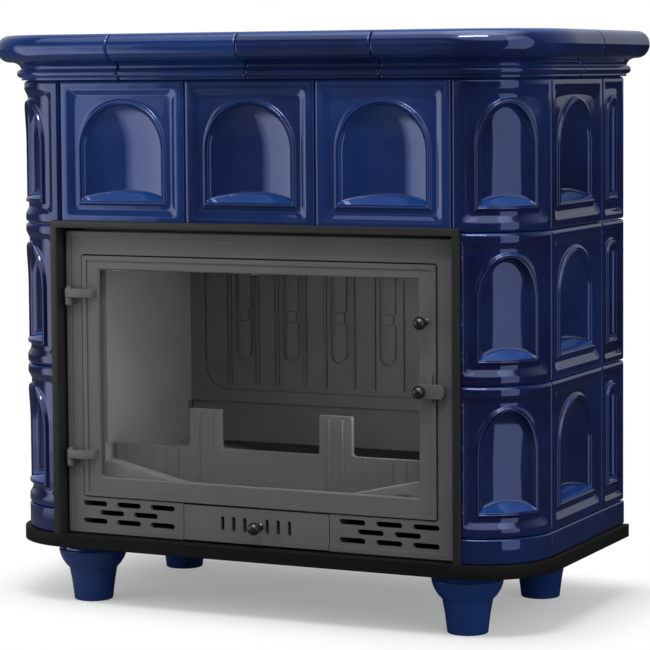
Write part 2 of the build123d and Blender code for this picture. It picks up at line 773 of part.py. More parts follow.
def make_fascia():
    """The cast front: a raised rim, the door and drawer openings, air slots and hinge lugs."""
    height = fascia_top - fascia_foot
    middle = deck_z + fascia_foot + height / 2
    opening_width = door_width + 2 * door_gap
    opening_foot = door_bottom - door_gap
    opening_height = door_top + door_gap - opening_foot
    opening_middle = deck_z + opening_foot + opening_height / 2
    drawer_opening = drawer_width + 2 * drawer_gap
    flange_foot = deck_z + fascia_foot
    with BuildPart() as fascia:
        with BuildSketch(front_plane(0, middle, rim_y)):
            Rectangle(fascia_width, height)
        extrude(amount=-fascia_thickness)
        chamfer(fascia.faces().sort_by(Axis.Y)[0].edges(), 1.5)
        with BuildSketch(front_plane(0, middle, rim_y)):
            Rectangle(fascia_width - 2 * rim_width, height - 2 * rim_width)
        extrude(amount=-rim_step, mode=Mode.SUBTRACT)
        with BuildSketch(front_plane(0, flange_foot, rim_y + fascia_thickness)):
            with Locations((0, (height - rim_width) / 2)):
                Rectangle(shell_width, height - rim_width)
        extrude(amount=-(shell_y - rim_y - fascia_thickness))
        with BuildSketch(front_plane(0, flange_foot, rim_y + fascia_thickness)):
            with Locations((0, (height - rim_width - flange_width) / 2)):
                Rectangle(shell_width - 2 * flange_width, height - rim_width - flange_width)
        extrude(amount=-door_depth, mode=Mode.SUBTRACT)
        with BuildSketch(front_plane(0, opening_middle, rim_y)):
            Rectangle(opening_width, opening_height)
            fillet(vertices(), door_corner)
        extrude(amount=-door_depth, mode=Mode.SUBTRACT)
        with BuildSketch(front_plane(0, deck_z, rim_y)):
            with Locations((0, opening_foot / 2)):
                Rectangle(drawer_opening, opening_foot + door_corner)
        extrude(amount=-door_depth, mode=Mode.SUBTRACT)
        with BuildSketch(front_plane(0, 0, rim_y)):
            with Locations(*grille_places()):
                SlotOverall(grille_slot_length, grille_slot_width)
        extrude(amount=-door_depth, mode=Mode.SUBTRACT)
        for level in hinge_levels:
            lug_top = level - hinge_arm_height / 2 - pin_clearance
            with BuildSketch(Plane.XY.offset(lug_top - lug_height)):
                with Locations((hinge_x, hinge_y)):
                    Circle(lug_diameter / 2)
                with Locations((hinge_x, hinge_y + (hinge_proud + rim_step) / 2)):
                    Rectangle(lug_diameter * 0.7, hinge_proud + rim_step + 1)
                with Locations((hinge_x, hinge_y)):
                    Circle(pin_diameter / 2 + pin_seat, mode=Mode.SUBTRACT)
            extrude(amount=lug_height)
        with BuildSketch(front_plane(latch_x + latch_reach - keeper_set, latch_z, field_y)):
            Rectangle(keeper_width, latch_width * 0.7)
        extrude(amount=field_y - latch_back_y - latch_clearance)
    finish(fascia.part, "fascia")


def make_hinges():
    """Curved hinge arms that ride on the door, and the headed pins they turn on."""
    eye = hinge_eye_radius
    arm_back = hinge_arm_thickness - hinge_eye_radius
    foot_start = hinge_setback + door_rim + 1
    foot_back = hinge_proud + rim_step
    with BuildPart() as arms:
        for level in hinge_levels:
            underside = level - hinge_arm_height / 2
            with BuildSketch(Plane(origin=(hinge_x, hinge_y, underside))):
                with BuildLine():
                    ThreePointArc((0, -eye), (hinge_arm_reach / 2, -eye - 2), (hinge_arm_reach, -eye + 3))
                    Polyline(
                        (hinge_arm_reach, -eye + 3),
                        (hinge_arm_reach, foot_back),
                        (foot_start, foot_back),
                        (foot_start, arm_back),
                        (0, arm_back),
                        (0, -eye),
                    )
                make_face()
                Circle(eye)
                Circle(pin_diameter / 2 + pin_clearance, mode=Mode.SUBTRACT)
            extrude(amount=hinge_arm_height)
    finish(arms.part, "hinge_arms")
    length = hinge_arm_height + lug_height + 2 * pin_clearance
    radius = pin_diameter / 2
    with BuildPart() as pins:
        for level in hinge_levels:
            head_z = level + hinge_arm_height / 2 + pin_clearance
            upright = Plane(origin=(hinge_x, hinge_y, head_z), x_dir=(1, 0, 0), z_dir=(0, -1, 0))
            with BuildSketch(upright):
                with BuildLine():
                    Polyline(
                        (0, pin_head_height),
                        (0, -length),
                        (radius, -length),
                        (radius, 0),
                        (pin_head_radius, 0),
                        (pin_head_radius * 0.7, pin_head_height),
                        (0, pin_head_height),
                    )
                make_face()
            revolve(axis=Axis((hinge_x, hinge_y, 0), (0, 0, 1)))
    finish(pins.part, "hinge_pins")


# ---------------------------------------------------------------- door
def make_door():
    """The door's frame: rimmed stiles, a bevelled window, a glass seat and a rope groove."""
    height = door_top - door_bottom
    middle = deck_z + door_bottom + height / 2
    window_height = window_top - window_bottom
    window_middle = deck_z + window_bottom + window_height / 2
    pad_height = field_y - latch_back_y - latch_clearance
    with BuildPart() as door:
        with BuildSketch(front_plane(0, middle, rim_y)):
            Rectangle(door_width, height)
            fillet(vertices(), door_corner - door_gap)
        extrude(amount=-door_depth)
        with BuildSketch(front_plane(0, middle, rim_y)):
            Rectangle(door_width - 2 * door_rim, height - 2 * door_rim)
        extrude(amount=-rim_step, mode=Mode.SUBTRACT)
        with BuildSketch(front_plane(0, window_middle, rim_y)):
            Rectangle(window_width, window_height)
            fillet(vertices(), window_corner)
        extrude(amount=-door_depth, mode=Mode.SUBTRACT)
        with BuildSketch(front_plane(0, window_middle, field_y)):
            Rectangle(window_width + 2 * window_bevel, window_height + 2 * window_bevel)
        with BuildSketch(front_plane(0, window_middle, field_y + window_bevel)):
            Rectangle(window_width, window_height)
        loft(mode=Mode.SUBTRACT)
        with BuildSketch(front_plane(0, window_middle, glass_y)):
            Rectangle(window_width + 2 * glass_seat, window_height + 2 * glass_seat)
        extrude(amount=-door_depth, mode=Mode.SUBTRACT)
        with BuildSketch(front_plane(0, middle, door_back_y)):
            Rectangle(door_width - 2 * rope_inset, height - 2 * rope_inset)
            Rectangle(
                door_width - 2 * (rope_inset + rope_width),
                height - 2 * (rope_inset + rope_width),
                mode=Mode.SUBTRACT,
            )
        extrude(amount=rope_groove, mode=Mode.SUBTRACT)
        with BuildSketch(front_plane(latch_x, latch_z, field_y)):
            Circle(latch_boss_radius)
            with Locations((latch_rib_offset, latch_rib_rise)):
                Rectangle(latch_rib_width, latch_rib_height)
        extrude(amount=pad_height)
        with BuildSketch(front_plane(latch_x, latch_z, latch_back_y)):
            Circle(latch_shank_radius + pin_clearance)
        extrude(amount=-(glass_y - latch_back_y), mode=Mode.SUBTRACT)
    finish(door.part, "door_frame")
    with BuildPart() as glass:
        with BuildSketch(front_plane(0, window_middle, glass_y)):
            Rectangle(window_width + 2 * glass_lap, window_height + 2 * glass_lap)
        extrude(amount=-glass_thickness)
    finish(glass.part, "door_glass")
    seat_height = window_height + 2 * glass_seat
    with BuildPart() as clips:
        for row in (-1, 1):
            for column in (-1, 0, 1):
                x = column * clip_spacing
                edge_z = window_middle + row * seat_height / 2
                with BuildSketch(front_plane(x, edge_z - row * clip_reach / 2, glass_y + glass_thickness)):
                    Rectangle(clip_width, clip_reach)
                extrude(amount=-clip_thickness)
    finish(clips.part, "glass_clips")
    with BuildPart() as rope:
        with BuildSketch(front_plane(0, middle, door_back_y - rope_groove + pin_clearance)):
            Rectangle(door_width - 2 * rope_inset - 1, height - 2 * rope_inset - 1)
            Rectangle(
                door_width - 2 * (rope_inset + rope_width) + 1,
                height - 2 * (rope_inset + rope_width) + 1,
                mode=Mode.SUBTRACT,
            )
        extrude(amount=-(rope_groove + seal_space - 2 * pin_clearance))
    finish(rope.part, "door_seal")


def knob_profile(length):
    """Half of a ball knob on a waisted neck, from its seat at 0 to the ball's end."""
    ball = knob_diameter / 2
    neck = knob_neck_radius
    neck_end = length - sqrt(ball**2 - neck**2)
    with BuildSketch() as profile:
        with BuildLine():
            Polyline((0, length + ball), (0, 0), (knob_collar_radius, 0), (neck, knob_collar), (neck, neck_end))
            ThreePointArc((neck, neck_end), (ball, length), (0, length + ball))
        make_face()
    return profile.sketch


def knob(x, y, z, length):
    """A turned ball knob that stands out towards the front from its seat at y."""
    with BuildPart() as turned:
        with BuildSketch(Plane(origin=(x, y, z), x_dir=(1, 0, 0), z_dir=(0, 0, -1))):
            add(knob_profile(length))
        revolve(axis=Axis((x, y, z), (0, -1, 0)))
    return turned.part


def make_knobs():
    """The pull knob, and the latch: a lever on a shank with a knob on its face."""
    finish(knob(knob_x, field_y, pull_knob_z, knob_stand), "pull_knob")
    latch_face_y = latch_back_y - latch_thickness
    tail = latch_reach - latch_nose_radius
    with BuildPart() as lever:
        with BuildSketch(front_plane(latch_x, latch_z, latch_face_y)):
            with BuildLine():
                Line((-latch_tail, -latch_width / 2), (tail, -latch_width / 2))
                ThreePointArc((tail, -latch_width / 2), (latch_reach, 0), (tail, latch_width / 2))
                Polyline(
                    (tail, latch_width / 2),
                    (-latch_tail, latch_width / 2),
                    (-latch_tail, -latch_width / 2),
                )
            make_face()
        extrude(amount=-latch_thickness)
        with BuildSketch(front_plane(latch_x, latch_z, latch_back_y)):
            Circle(latch_shank_radius)
        extrude(amount=-(glass_y - latch_back_y - pin_clearance))
    finish(lever.part, "latch_lever")
    finish(knob(latch_x, latch_face_y, latch_z, latch_knob_stand), "latch_knob")


# ---------------------------------------------------------------- ash drawer
def slot_places():
    """Centres of the air slots, left and right of the slider's knob."""
    for step in range(1, slider_slots // 2 + 1):
        yield -step * slider_pitch
        yield step * slider_pitch


def make_drawer():
    """The drawer's cast front, the pan behind it, and the slider that shuts its air slots."""
    front_height = door_bottom - door_gap - drawer_gap - drawer_foot
    middle = deck_z + drawer_foot + front_height / 2
    slot_z = deck_z + slider_level
    front_back_y = field_y + drawer_front_thickness
    with BuildPart() as front:
        with BuildSketch(front_plane(0, middle, field_y)):
            Rectangle(drawer_width, front_height)
        extrude(amount=-drawer_front_thickness)
        with BuildSketch(front_plane(0, deck_z + drawer_foot + drawer_band / 2, rim_y)):
            Rectangle(drawer_width, drawer_band)
        extrude(amount=-rim_step)
        with BuildSketch(front_plane(0, slot_z, field_y)):
            for x in slot_places():
                with Locations((x, 0)):
                    SlotOverall(slider_slot_height, slider_slot_width, rotation=90)
            with Locations((slider_knob_x - slider_travel / 2, 0)):
                Rectangle(slider_travel + slider_slot_width, slider_slot_width)
        extrude(amount=-drawer_front_thickness, mode=Mode.SUBTRACT)
    finish(front.part, "ash_drawer_front")
    pan_width = drawer_width - 2 * pan_inset
    with BuildPart() as pan:
        with BuildSketch(Plane.XY.offset(deck_z + pan_foot)):
            with Locations((0, front_back_y + pan_depth / 2)):
                Rectangle(pan_width, pan_depth)
        extrude(amount=pan_height)
        with BuildSketch(Plane.XY.offset(deck_z + pan_foot + pan_wall)):
            with Locations((0, front_back_y + (pan_depth - pan_wall) / 2)):
                Rectangle(pan_width - 2 * pan_wall, pan_depth - pan_wall)
        extrude(amount=pan_height, mode=Mode.SUBTRACT)
    finish(pan.part, "ash_pan")
    with BuildPart() as slider:
        with BuildSketch(front_plane(0, slot_z, front_back_y + slider_gap)):
            Rectangle(slider_length, slider_height)
            for x in slot_places():
                with Locations((x, 0)):
                    Rectangle(slider_slot_width, slider_slot_height, mode=Mode.SUBTRACT)
        extrude(amount=-slider_thickness)
        with BuildSketch(front_plane(slider_knob_x, slot_z, front_back_y + slider_gap)):
            Circle(slider_stem_radius)
        extrude(amount=front_back_y + slider_gap - field_y + slider_stem_proud)
        add(knob(slider_knob_x, field_y - slider_stem_proud, slot_z, knob_stand - slider_stem_proud))
    finish(slider.part, "air_slider")


# ---------------------------------------------------------------- firebox
def make_shell():
    """The steel box of the insert: a front plate that stands on the floor, and the panels."""
    back_y_line = shell_y + shell_wall + panel_gap
    depth = shell_depth - shell_wall - panel_gap
    middle_y = back_y_line + depth / 2
    fire_height = fire_opening_top - hearth_floor
    fire_middle = deck_z + hearth_floor + fire_height / 2
    ash_middle = deck_z + shell_wall + ash_opening_height / 2
    pan_opening = drawer_width - 2 * pan_inset + 2 * rail_clearance
    air_width = shell_half - air_opening_inner - shell_wall
    air_middle = (shell_half + air_opening_inner) / 2
    front_height = shell_height - shell_wall - panel_gap
    front_middle = deck_z + shell_wall + panel_gap + front_height / 2
    with BuildPart() as front:
        with BuildSketch(front_plane(0, front_middle, shell_y)):
            Rectangle(shell_width, front_height)
        extrude(amount=-shell_wall)
        with BuildSketch(front_plane(0, fire_middle, shell_y)):
            Rectangle(fire_opening_width, fire_height)
        extrude(amount=-shell_wall, mode=Mode.SUBTRACT)
        with BuildSketch(front_plane(0, ash_middle, shell_y)):
            Rectangle(pan_opening, ash_opening_height)
            with Locations((-air_middle, 0), (air_middle, 0)):
                Rectangle(air_width, ash_opening_height)
        extrude(amount=-shell_wall, mode=Mode.SUBTRACT)
    finish(front.part, "shell_front")
    wall_height = shell_height - 2 * (shell_wall + panel_gap)
    wall_x = shell_half + shell_wall / 2
    rail_x = drawer_width / 2 - pan_inset + rail_clearance + rail_width / 2
    with BuildPart() as shell:
        with BuildSketch(Plane.XY.offset(deck_z)):
            with Locations((0, shell_y + shell_depth / 2)):
                Rectangle(shell_width, shell_depth)
        extrude(amount=shell_wall)
        with BuildSketch(Plane.XY.offset(deck_z + shell_height - shell_wall)):
            with Locations((0, middle_y)):
                Rectangle(shell_width, depth)
            with Locations((0, face_y + flue_set)):
                Circle(flue_diameter / 2 - flue_wall, mode=Mode.SUBTRACT)
        extrude(amount=shell_wall)
        with BuildSketch(Plane.XY.offset(deck_z + shell_wall + panel_gap)):
            with Locations((-wall_x, middle_y), (wall_x, middle_y)):
                Rectangle(shell_wall, depth)
            with Locations((0, shell_y + shell_depth - shell_wall / 2)):
                Rectangle(2 * (shell_half - panel_gap), shell_wall)
        extrude(amount=wall_height)
        with BuildSketch(Plane.XY.offset(deck_z + shell_wall + panel_gap)):
            with Locations((-rail_x, back_y_line + pan_depth / 2), (rail_x, back_y_line + pan_depth / 2)):
                Rectangle(rail_width, pan_depth)
        extrude(amount=rail_height)
        ledge_x = shell_half - panel_gap - ledge_width / 2
        ledge_depth = depth - shell_wall - 2 * panel_gap
        ledge_y = back_y_line + panel_gap + ledge_depth / 2
        with BuildSketch(Plane.XY.offset(deck_z + hearth_foot - ledge_thickness)):
            with Locations((-ledge_x, ledge_y), (ledge_x, ledge_y)):
                Rectangle(ledge_width, ledge_depth)
        extrude(amount=ledge_thickness)
    finish(shell.part, "firebox_shell")


def make_hearth():
    """The cast hearth: a flat middle with sloping sides, webs front and back, and a grate."""
    start = shell_y + shell_wall + hearth_clearance
    depth = shell_depth - 2 * (shell_wall + hearth_clearance)
    outer = shell_half - 2 * hearth_clearance
    grate_y = face_y + grate_set
    section = Plane(origin=(0, start, deck_z), x_dir=(1, 0, 0), z_dir=(0, -1, 0))
    top_line = (
        (-outer, hearth_shoulder),
        (-hearth_slope_half, hearth_shoulder),
        (-hearth_flat_half, hearth_floor),
        (hearth_flat_half, hearth_floor),
        (hearth_slope_half, hearth_shoulder),
        (outer, hearth_shoulder),
    )
    under_line = tuple((x, z - hearth_thickness) for x, z in reversed(top_line))
    with BuildPart() as hearth:
        with BuildSketch(section):
            with BuildLine():
                Polyline(*top_line, *under_line, close=True)
            make_face()
        extrude(amount=-depth)
        with BuildSketch(section):
            with BuildLine():
                Polyline(*top_line, (outer, hearth_foot), (-outer, hearth_foot), close=True)
            make_face()
        extrude(amount=-hearth_thickness)
        with BuildSketch(section.offset(-depth)):
            with BuildLine():
                Polyline(*top_line, (outer, hearth_foot), (-outer, hearth_foot), close=True)
            make_face()
        extrude(amount=hearth_thickness)
        with BuildSketch(Plane.XY.offset(deck_z + hearth_floor - hearth_thickness)):
            with Locations((0, grate_y)):
                Rectangle(grate_width - grate_lap, grate_depth - grate_lap)
        extrude(amount=hearth_thickness, mode=Mode.SUBTRACT)
        with BuildSketch(Plane.XY.offset(deck_z + hearth_floor - grate_thickness)):
            with Locations((0, grate_y)):
                Rectangle(grate_width + grate_gap, grate_depth + grate_gap)
        extrude(amount=grate_thickness, mode=Mode.SUBTRACT)
    finish(hearth.part, "hearth_plate")
    slot = grate_width / (2 * grate_bars + 1)
    with BuildPart() as grate:
        with BuildSketch(Plane.XY.offset(deck_z + hearth_floor - grate_thickness)):
            with Locations((0, grate_y)):
                Rectangle(grate_width, grate_depth)
                with GridLocations(2 * slot, 0, grate_bars, 1):
                    Rectangle(slot, grate_depth - 2 * slot, mode=Mode.SUBTRACT)
        extrude(amount=grate_thickness)
    finish(grate.part, "grate")


def make_liners():
    """The side liners and the baffle, with the back liner between them."""
    bottom = deck_z + hearth_shoulder
    liner_height = liner_top - hearth_shoulder
    start = face_y + liner_front
    length = back_face_y - start
    side_face = Plane(origin=(firebox_half, start, bottom), x_dir=(0, 1, 0), z_dir=(1, 0, 0))
    with BuildPart() as side:
        with BuildSketch(side_face):
            Rectangle(length, liner_height, align=(Align.MIN, Align.MIN))
        extrude(amount=liner_thickness)
        with BuildSketch(side_face):
            with BuildLine():
                Polyline(
                    (0, 0),
                    (length, 0),
                    (length, liner_step - hearth_shoulder),
                    (0, liner_step_front - hearth_shoulder),
                    close=True,
                )
            make_face()
        extrude(amount=liner_step_depth, mode=Mode.SUBTRACT)
    finish(to_left(side.part), "side_liner_left")
    finish(side.part, "side_liner_right")
    width = 2 * (firebox_half + liner_thickness)
    make_back_liner(width, liner_height)
    with BuildPart() as baffle:
        with BuildSketch(Plane.XY.offset(deck_z + liner_top)):
            with Locations((0, back_face_y - baffle_depth / 2)):
                Rectangle(width - 2 * liner_step_depth, baffle_depth)
        extrude(amount=baffle_thickness)
    finish(baffle.part, "baffle")


def oval_groove(top):
    """A groove round a long oval with a round foot, parted by a square boss."""
    island = oval_width - 2 * oval_groove_width
    low = oval_bottom + oval_groove_width
    boss_gap = boss_size / 2 + oval_groove_width / 2
    with BuildSketch() as groove:
        with Locations((0, (oval_bottom + top) / 2)):
            Rectangle(oval_width, top - oval_bottom)
        fillet(groove.vertices().group_by(Axis.Y)[0], oval_width / 2 - 0.1)
        with BuildSketch(mode=Mode.SUBTRACT) as low_island:
            with Locations((0, (low + boss_level - boss_gap) / 2)):
                Rectangle(island, boss_level - boss_gap - low)
            fillet(low_island.vertices().group_by(Axis.Y)[0], island / 2 - 0.1)
        with Locations((0, (boss_level + boss_gap + top) / 2)):
            Rectangle(island, top - boss_level - boss_gap, mode=Mode.SUBTRACT)
        with Locations((0, boss_level)):
            Rectangle(boss_size, boss_size, mode=Mode.SUBTRACT)
    return groove.sketch


def make_back_liner(width, liner_height):
    """The cast back: a sunken panel with round lower corners, long oval grooves and ribs."""
    half_panel = firebox_half - panel_inset
    panel_height = liner_top - panel_bottom
    rib_height = panel_height - 2 * panel_bottom_gap
    bottom = deck_z + hearth_shoulder
    step_height = liner_step - hearth_shoulder
    panel_y = back_face_y + liner_relief
    ovals = [place * oval_pitch for place in (-2, -1, 0, 1, 2)]
    with BuildPart() as back:
        with BuildSketch(front_plane(0, bottom + liner_height / 2, back_face_y)):
            Rectangle(width, liner_height)
        extrude(amount=-liner_thickness)
        with BuildSketch(front_plane(0, bottom + step_height / 2, back_face_y)):
            Rectangle(2 * firebox_half, step_height)
        extrude(amount=-liner_step_depth, mode=Mode.SUBTRACT)
        with BuildSketch(front_plane(0, deck_z + panel_bottom + panel_height / 2, back_face_y)):
            Rectangle(2 * half_panel, panel_height)
            fillet(vertices().group_by(Axis.Y)[0], panel_corner)
        extrude(amount=-liner_relief, mode=Mode.SUBTRACT)
        with BuildSketch(front_plane(0, deck_z, panel_y)):
            with Locations(*((x, 0) for x in ovals)):
                add(oval_groove(liner_top + 1))
        extrude(amount=-oval_groove_depth, mode=Mode.SUBTRACT)
        with BuildSketch(front_plane(0, deck_z + liner_top - rib_height / 2, panel_y)):
            for x in ovals:
                with Locations((x - rib_set, 0), (x + rib_set, 0)):
                    Rectangle(rib_width, rib_height)
        extrude(amount=liner_relief - panel_gap)
    finish(back.part, "back_liner")


def make_retainer():
    """The log retainer: a low plate with two raised posts, a round-cornered notch and ribs."""
    floor = hearth_floor + panel_gap
    shoulder = hearth_shoulder + panel_gap
    face = front_plane(0, deck_z, face_y + retainer_face)
    right = (
        (0, retainer_wing_top),
        (post_inner, retainer_wing_top),
        (post_inner, retainer_top),
        (post_outer, retainer_top),
        (post_outer, retainer_wing_top),
        (retainer_half, retainer_wing_top),
        (retainer_half, shoulder),
        (hearth_slope_half, shoulder),
        (hearth_flat_half, floor),
        (0, floor),
    )
    with BuildPart() as retainer:
        with BuildSketch(face):
            with BuildLine():
                Polyline(*right, close=True)
            make_face()
            mirror(about=Plane.YZ)
            inner = [v for v in vertices() if abs(abs(v.X) - post_inner) < 1 and v.Y < retainer_top - 1]
            outer = [v for v in vertices() if abs(abs(v.X) - post_outer) < 1 and v.Y < retainer_top - 1]
            fillet(inner + outer, notch_corner)
        extrude(amount=-retainer_thickness)
        with BuildSketch(face):
            for side in (-1, 1):
                for index in range(wing_ribs):
                    x = side * (post_outer + (index + 1) * wing_rib_pitch)
                    low = hearth_floor + max(0, abs(x) + wing_rib_width - hearth_flat_half) * slope_rise + 2
                    with Locations((x, (low + retainer_wing_top) / 2)):
                        Rectangle(wing_rib_width, retainer_wing_top - low)
                for x in (post_inner + post_rib_set, post_outer - post_rib_set):
                    with Locations((side * x, (hearth_floor + retainer_top) / 2)):
                        Rectangle(wing_rib_width, retainer_top - hearth_floor - 2 * notch_corner)
        extrude(amount=wing_rib_rise)
    finish(retainer.part, "log_retainer")


def make_flue():
    """The flue collar: a tube from the firebox's top up through the top plate."""
    bottom = deck_z + shell_height
    radius = flue_diameter / 2
    with BuildPart() as collar:
        with BuildSketch(Plane.XY.offset(bottom)):
            with Locations((0, face_y + flue_set)):
                Circle(radius + flue_flange)
                Circle(radius - flue_wall, mode=Mode.SUBTRACT)
        extrude(amount=top_plate_thickness)
        with BuildSketch(Plane.XY.offset(bottom)):
            with Locations((0, face_y + flue_set)):
                Circle(radius)
                Circle(radius - flue_wall, mode=Mode.SUBTRACT)
        extrude(amount=crown_top_z - bottom)
    finish(collar.part, "flue_collar")


os.makedirs("parts", exist_ok=True)
make_tiles()
make_crown()
make_top_plate()
make_back_panel()
make_base()
make_feet()
make_surround()
make_fascia()
make_hinges()
make_door()
make_knobs()
make_drawer()
make_shell()
make_hearth()
make_liners()
make_retainer()
make_flue()
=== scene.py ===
import math

import bmesh
import bpy
import numpy as np
from mathutils import Matrix, Vector


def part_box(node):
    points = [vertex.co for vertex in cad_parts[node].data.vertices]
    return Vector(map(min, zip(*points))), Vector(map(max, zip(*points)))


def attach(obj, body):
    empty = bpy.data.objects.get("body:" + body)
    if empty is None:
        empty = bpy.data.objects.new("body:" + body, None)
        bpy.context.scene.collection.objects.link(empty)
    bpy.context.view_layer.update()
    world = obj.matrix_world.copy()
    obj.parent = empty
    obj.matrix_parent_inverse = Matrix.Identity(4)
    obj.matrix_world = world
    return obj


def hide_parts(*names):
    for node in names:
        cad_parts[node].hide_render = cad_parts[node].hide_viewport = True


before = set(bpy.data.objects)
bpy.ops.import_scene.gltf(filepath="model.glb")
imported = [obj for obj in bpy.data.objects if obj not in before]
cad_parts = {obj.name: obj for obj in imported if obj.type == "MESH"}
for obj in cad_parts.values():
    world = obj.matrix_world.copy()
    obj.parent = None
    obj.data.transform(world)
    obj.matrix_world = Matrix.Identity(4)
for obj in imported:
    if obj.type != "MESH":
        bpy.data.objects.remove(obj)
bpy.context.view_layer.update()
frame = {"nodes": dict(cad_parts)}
NODES = frame["nodes"]

bl_info = {
    "name": "Tiled stove",
    "version": (1, 0, 0),
    "blender": (4, 5, 0),
    "location": "3D View > Sidebar > Stove",
    "description": "Builds the glazed tiles, the cast insert and the studio of a tiled stove",
    "category": "Object",
}

# Places taken from the frame, in metres. X runs along the front, Y to the back, Z up.
TILE_LOW, TILE_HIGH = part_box("front_tile_right")
SIDE_LOW, SIDE_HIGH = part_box("side_tile_upper_right")
CROWN_LOW, CROWN_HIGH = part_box("crown_corner_right")
BASE_LOW, BASE_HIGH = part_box("base_plate")
PLINTH_LOW, PLINTH_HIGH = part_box("plinth_tiles_right")
FRONT_Y = TILE_LOW.y
BACK_Y = BASE_HIGH.y
SIDE_X = SIDE_HIGH.x
HALF_JOINT = (TILE_LOW.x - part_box("front_tile_middle")[1].x) / 2
TILE_WIDTH = TILE_HIGH.x - TILE_LOW.x
TILE_HEIGHT = TILE_HIGH.z - TILE_LOW.z
TILE_DEPTH = TILE_HIGH.y - TILE_LOW.y
TILE_PITCH = TILE_WIDTH + 2 * HALF_JOINT
CORNER_X = TILE_HIGH.x + HALF_JOINT
CORNER_Y = SIDE_LOW.y - HALF_JOINT
CORNER_RADIUS = SIDE_X - CORNER_X
CORNER_RUN = CORNER_RADIUS * math.pi / 2
CASE_RUN = CORNER_X + CORNER_RUN + BACK_Y - CORNER_Y
CROWN_REACH = CROWN_HIGH.x - SIDE_X
CROWN_HEIGHT = CROWN_HIGH.z - CROWN_LOW.z
ROWS = ("lower", "middle", "upper")
SIDES = (("left", -1), ("right", 1))

# Arches of the niches: half width, foot above the tile's edge, height, and rise of the round top.
FULL_ARCH = (0.0765, 0.0316, 0.160, 0.0765)
SLIM_ARCH = (0.023, 0.0316, 0.160, 0.023)
CORNER_ARCH = (0.052, 0.0316, 0.160, 0.070)
NO_CUT = -1.0


# ------------------------ settings a user would change
def colour(name, description, default):
    """A setting that is a colour."""
    return bpy.props.FloatVectorProperty(
        name=name, description=description, subtype="COLOR", size=3, default=default, min=0, max=1
    )


def length(name, description, default, low, high):
    """A setting that is a length."""
    return bpy.props.FloatProperty(
        name=name, description=description, subtype="DISTANCE", unit="LENGTH",
        default=default, min=low, max=high,
    )


class GlazeSettings(bpy.types.PropertyGroup):
    deep: colour("Deep glaze", "Colour of the glaze where it lies thick", (0.006, 0.007, 0.034))
    thin: colour("Thin glaze", "Colour of the glaze where it lies thinner", (0.012, 0.040, 0.165))
    # Painted top light with pooled glaze: the brighter colour that upward-facing ledges and sills
    # take.
    pool: colour("Pooled glaze", "Colour of the glaze gathered on ledges", (0.010, 0.046, 0.195))
    roughness: bpy.props.FloatProperty(
        name="Roughness", description="Softness of the reflections in the glaze",
        subtype="FACTOR", default=0.045, min=0, max=1,
    )
    tint: colour("Sheen", "Colour of the reflections seen head on", (0.5, 0.58, 1.0))


class ReliefSettings(bpy.types.PropertyGroup):
    edge: length("Edge radius", "Rounding of a tile's outer edge", 0.0055, 0.0005, 0.008)
    border: length("Border", "Width of a tile's flat raised border", 0.0125, 0.008, 0.03)
    slope: length("Slope", "Width of the slope from the border to the field", 0.0125, 0.001, 0.03)
    relief: length("Relief", "Depth of the field below the border", 0.005, 0, 0.01)
    corner: length("Field corner", "Rounding of the sunken field's corners", 0.009, 0.001, 0.03)
    rim: length("Moulding", "Width of the moulding round the arch", 0.0055, 0.001, 0.02)
    steps: bpy.props.IntProperty(
        name="Fineness", description="Points along each of the four sides of a tile's rings",
        default=40, min=8, max=80,
    )


class IronSettings(bpy.types.PropertyGroup):
    paint: colour("Stove paint", "Colour of the painted casting", (0.096, 0.096, 0.097))
    frame: colour("Frame paint", "Colour of the insert's angle frame", (0.017, 0.017, 0.016))
    bare: colour("Bare iron", "Colour of the castings inside the firebox", (0.30, 0.30, 0.295))
    bevel: length("Edge bevel", "Rounding of the castings' edges", 0.0008, 0, 0.003)


# ------------------------ objects and node trees
def stand(name, data):
    """Puts a mesh, a lamp or a camera in the scene under a name."""
    made = bpy.data.objects.new(name, data)
    bpy.context.scene.collection.objects.link(made)
    return made


def settled(holder, name):
    """The plain mesh that an object's modifiers make; the object itself goes."""
    graph = bpy.context.evaluated_depsgraph_get()
    mesh = bpy.data.meshes.new_from_object(holder.evaluated_get(graph))
    mesh.name = name
    holder.modifiers.clear()
    source = holder.data
    bpy.data.objects.remove(holder)
    bpy.data.meshes.remove(source)
    return mesh


def loop_edges(points):
    """Edges from each point to the next, round to the first."""
    return [(i, (i + 1) % len(points)) for i in range(len(points))]


class Wire:
    """A socket of a node tree that can stand in sums, differences, products and quotients."""

    def __init__(self, build, socket):
        self.build = build
        self.socket = socket

    def out(self, name):
        """Another output of the same node."""
        return Wire(self.build, self.socket.node.outputs[name])

    def __add__(self, other):
        return self.build.math("ADD", self, other)

    __radd__ = __add__

    def __sub__(self, other):
        return self.build.math("SUBTRACT", self, other)

    def __rsub__(self, other):
        return self.build.math("SUBTRACT", other, self)

    def __mul__(self, other):
        return self.build.math("MULTIPLY", self, other)

    __rmul__ = __mul__

    def __truediv__(self, other):
        return self.build.math("DIVIDE", self, other)

    def __rtruediv__(self, other):
        return self.build.math("DIVIDE", other, self)

    def least(self, other):
        return self.build.math("MINIMUM", self, other)

    def most(self, other):
        return self.build.math("MAXIMUM", self, other)

    def clamped(self, low, high):
        return self.build.node("ShaderNodeClamp", {}, {"Value": self, "Min": low, "Max": high})

    def spread(self, low, high):
        """0 below low, 1 above high, and a smooth rise between them."""
        settings = {"interpolation_type": "SMOOTHSTEP"}
        sockets = {"Value": self, "From Min": low, "From Max": high}
        return self.build.node("ShaderNodeMapRange", settings, sockets)


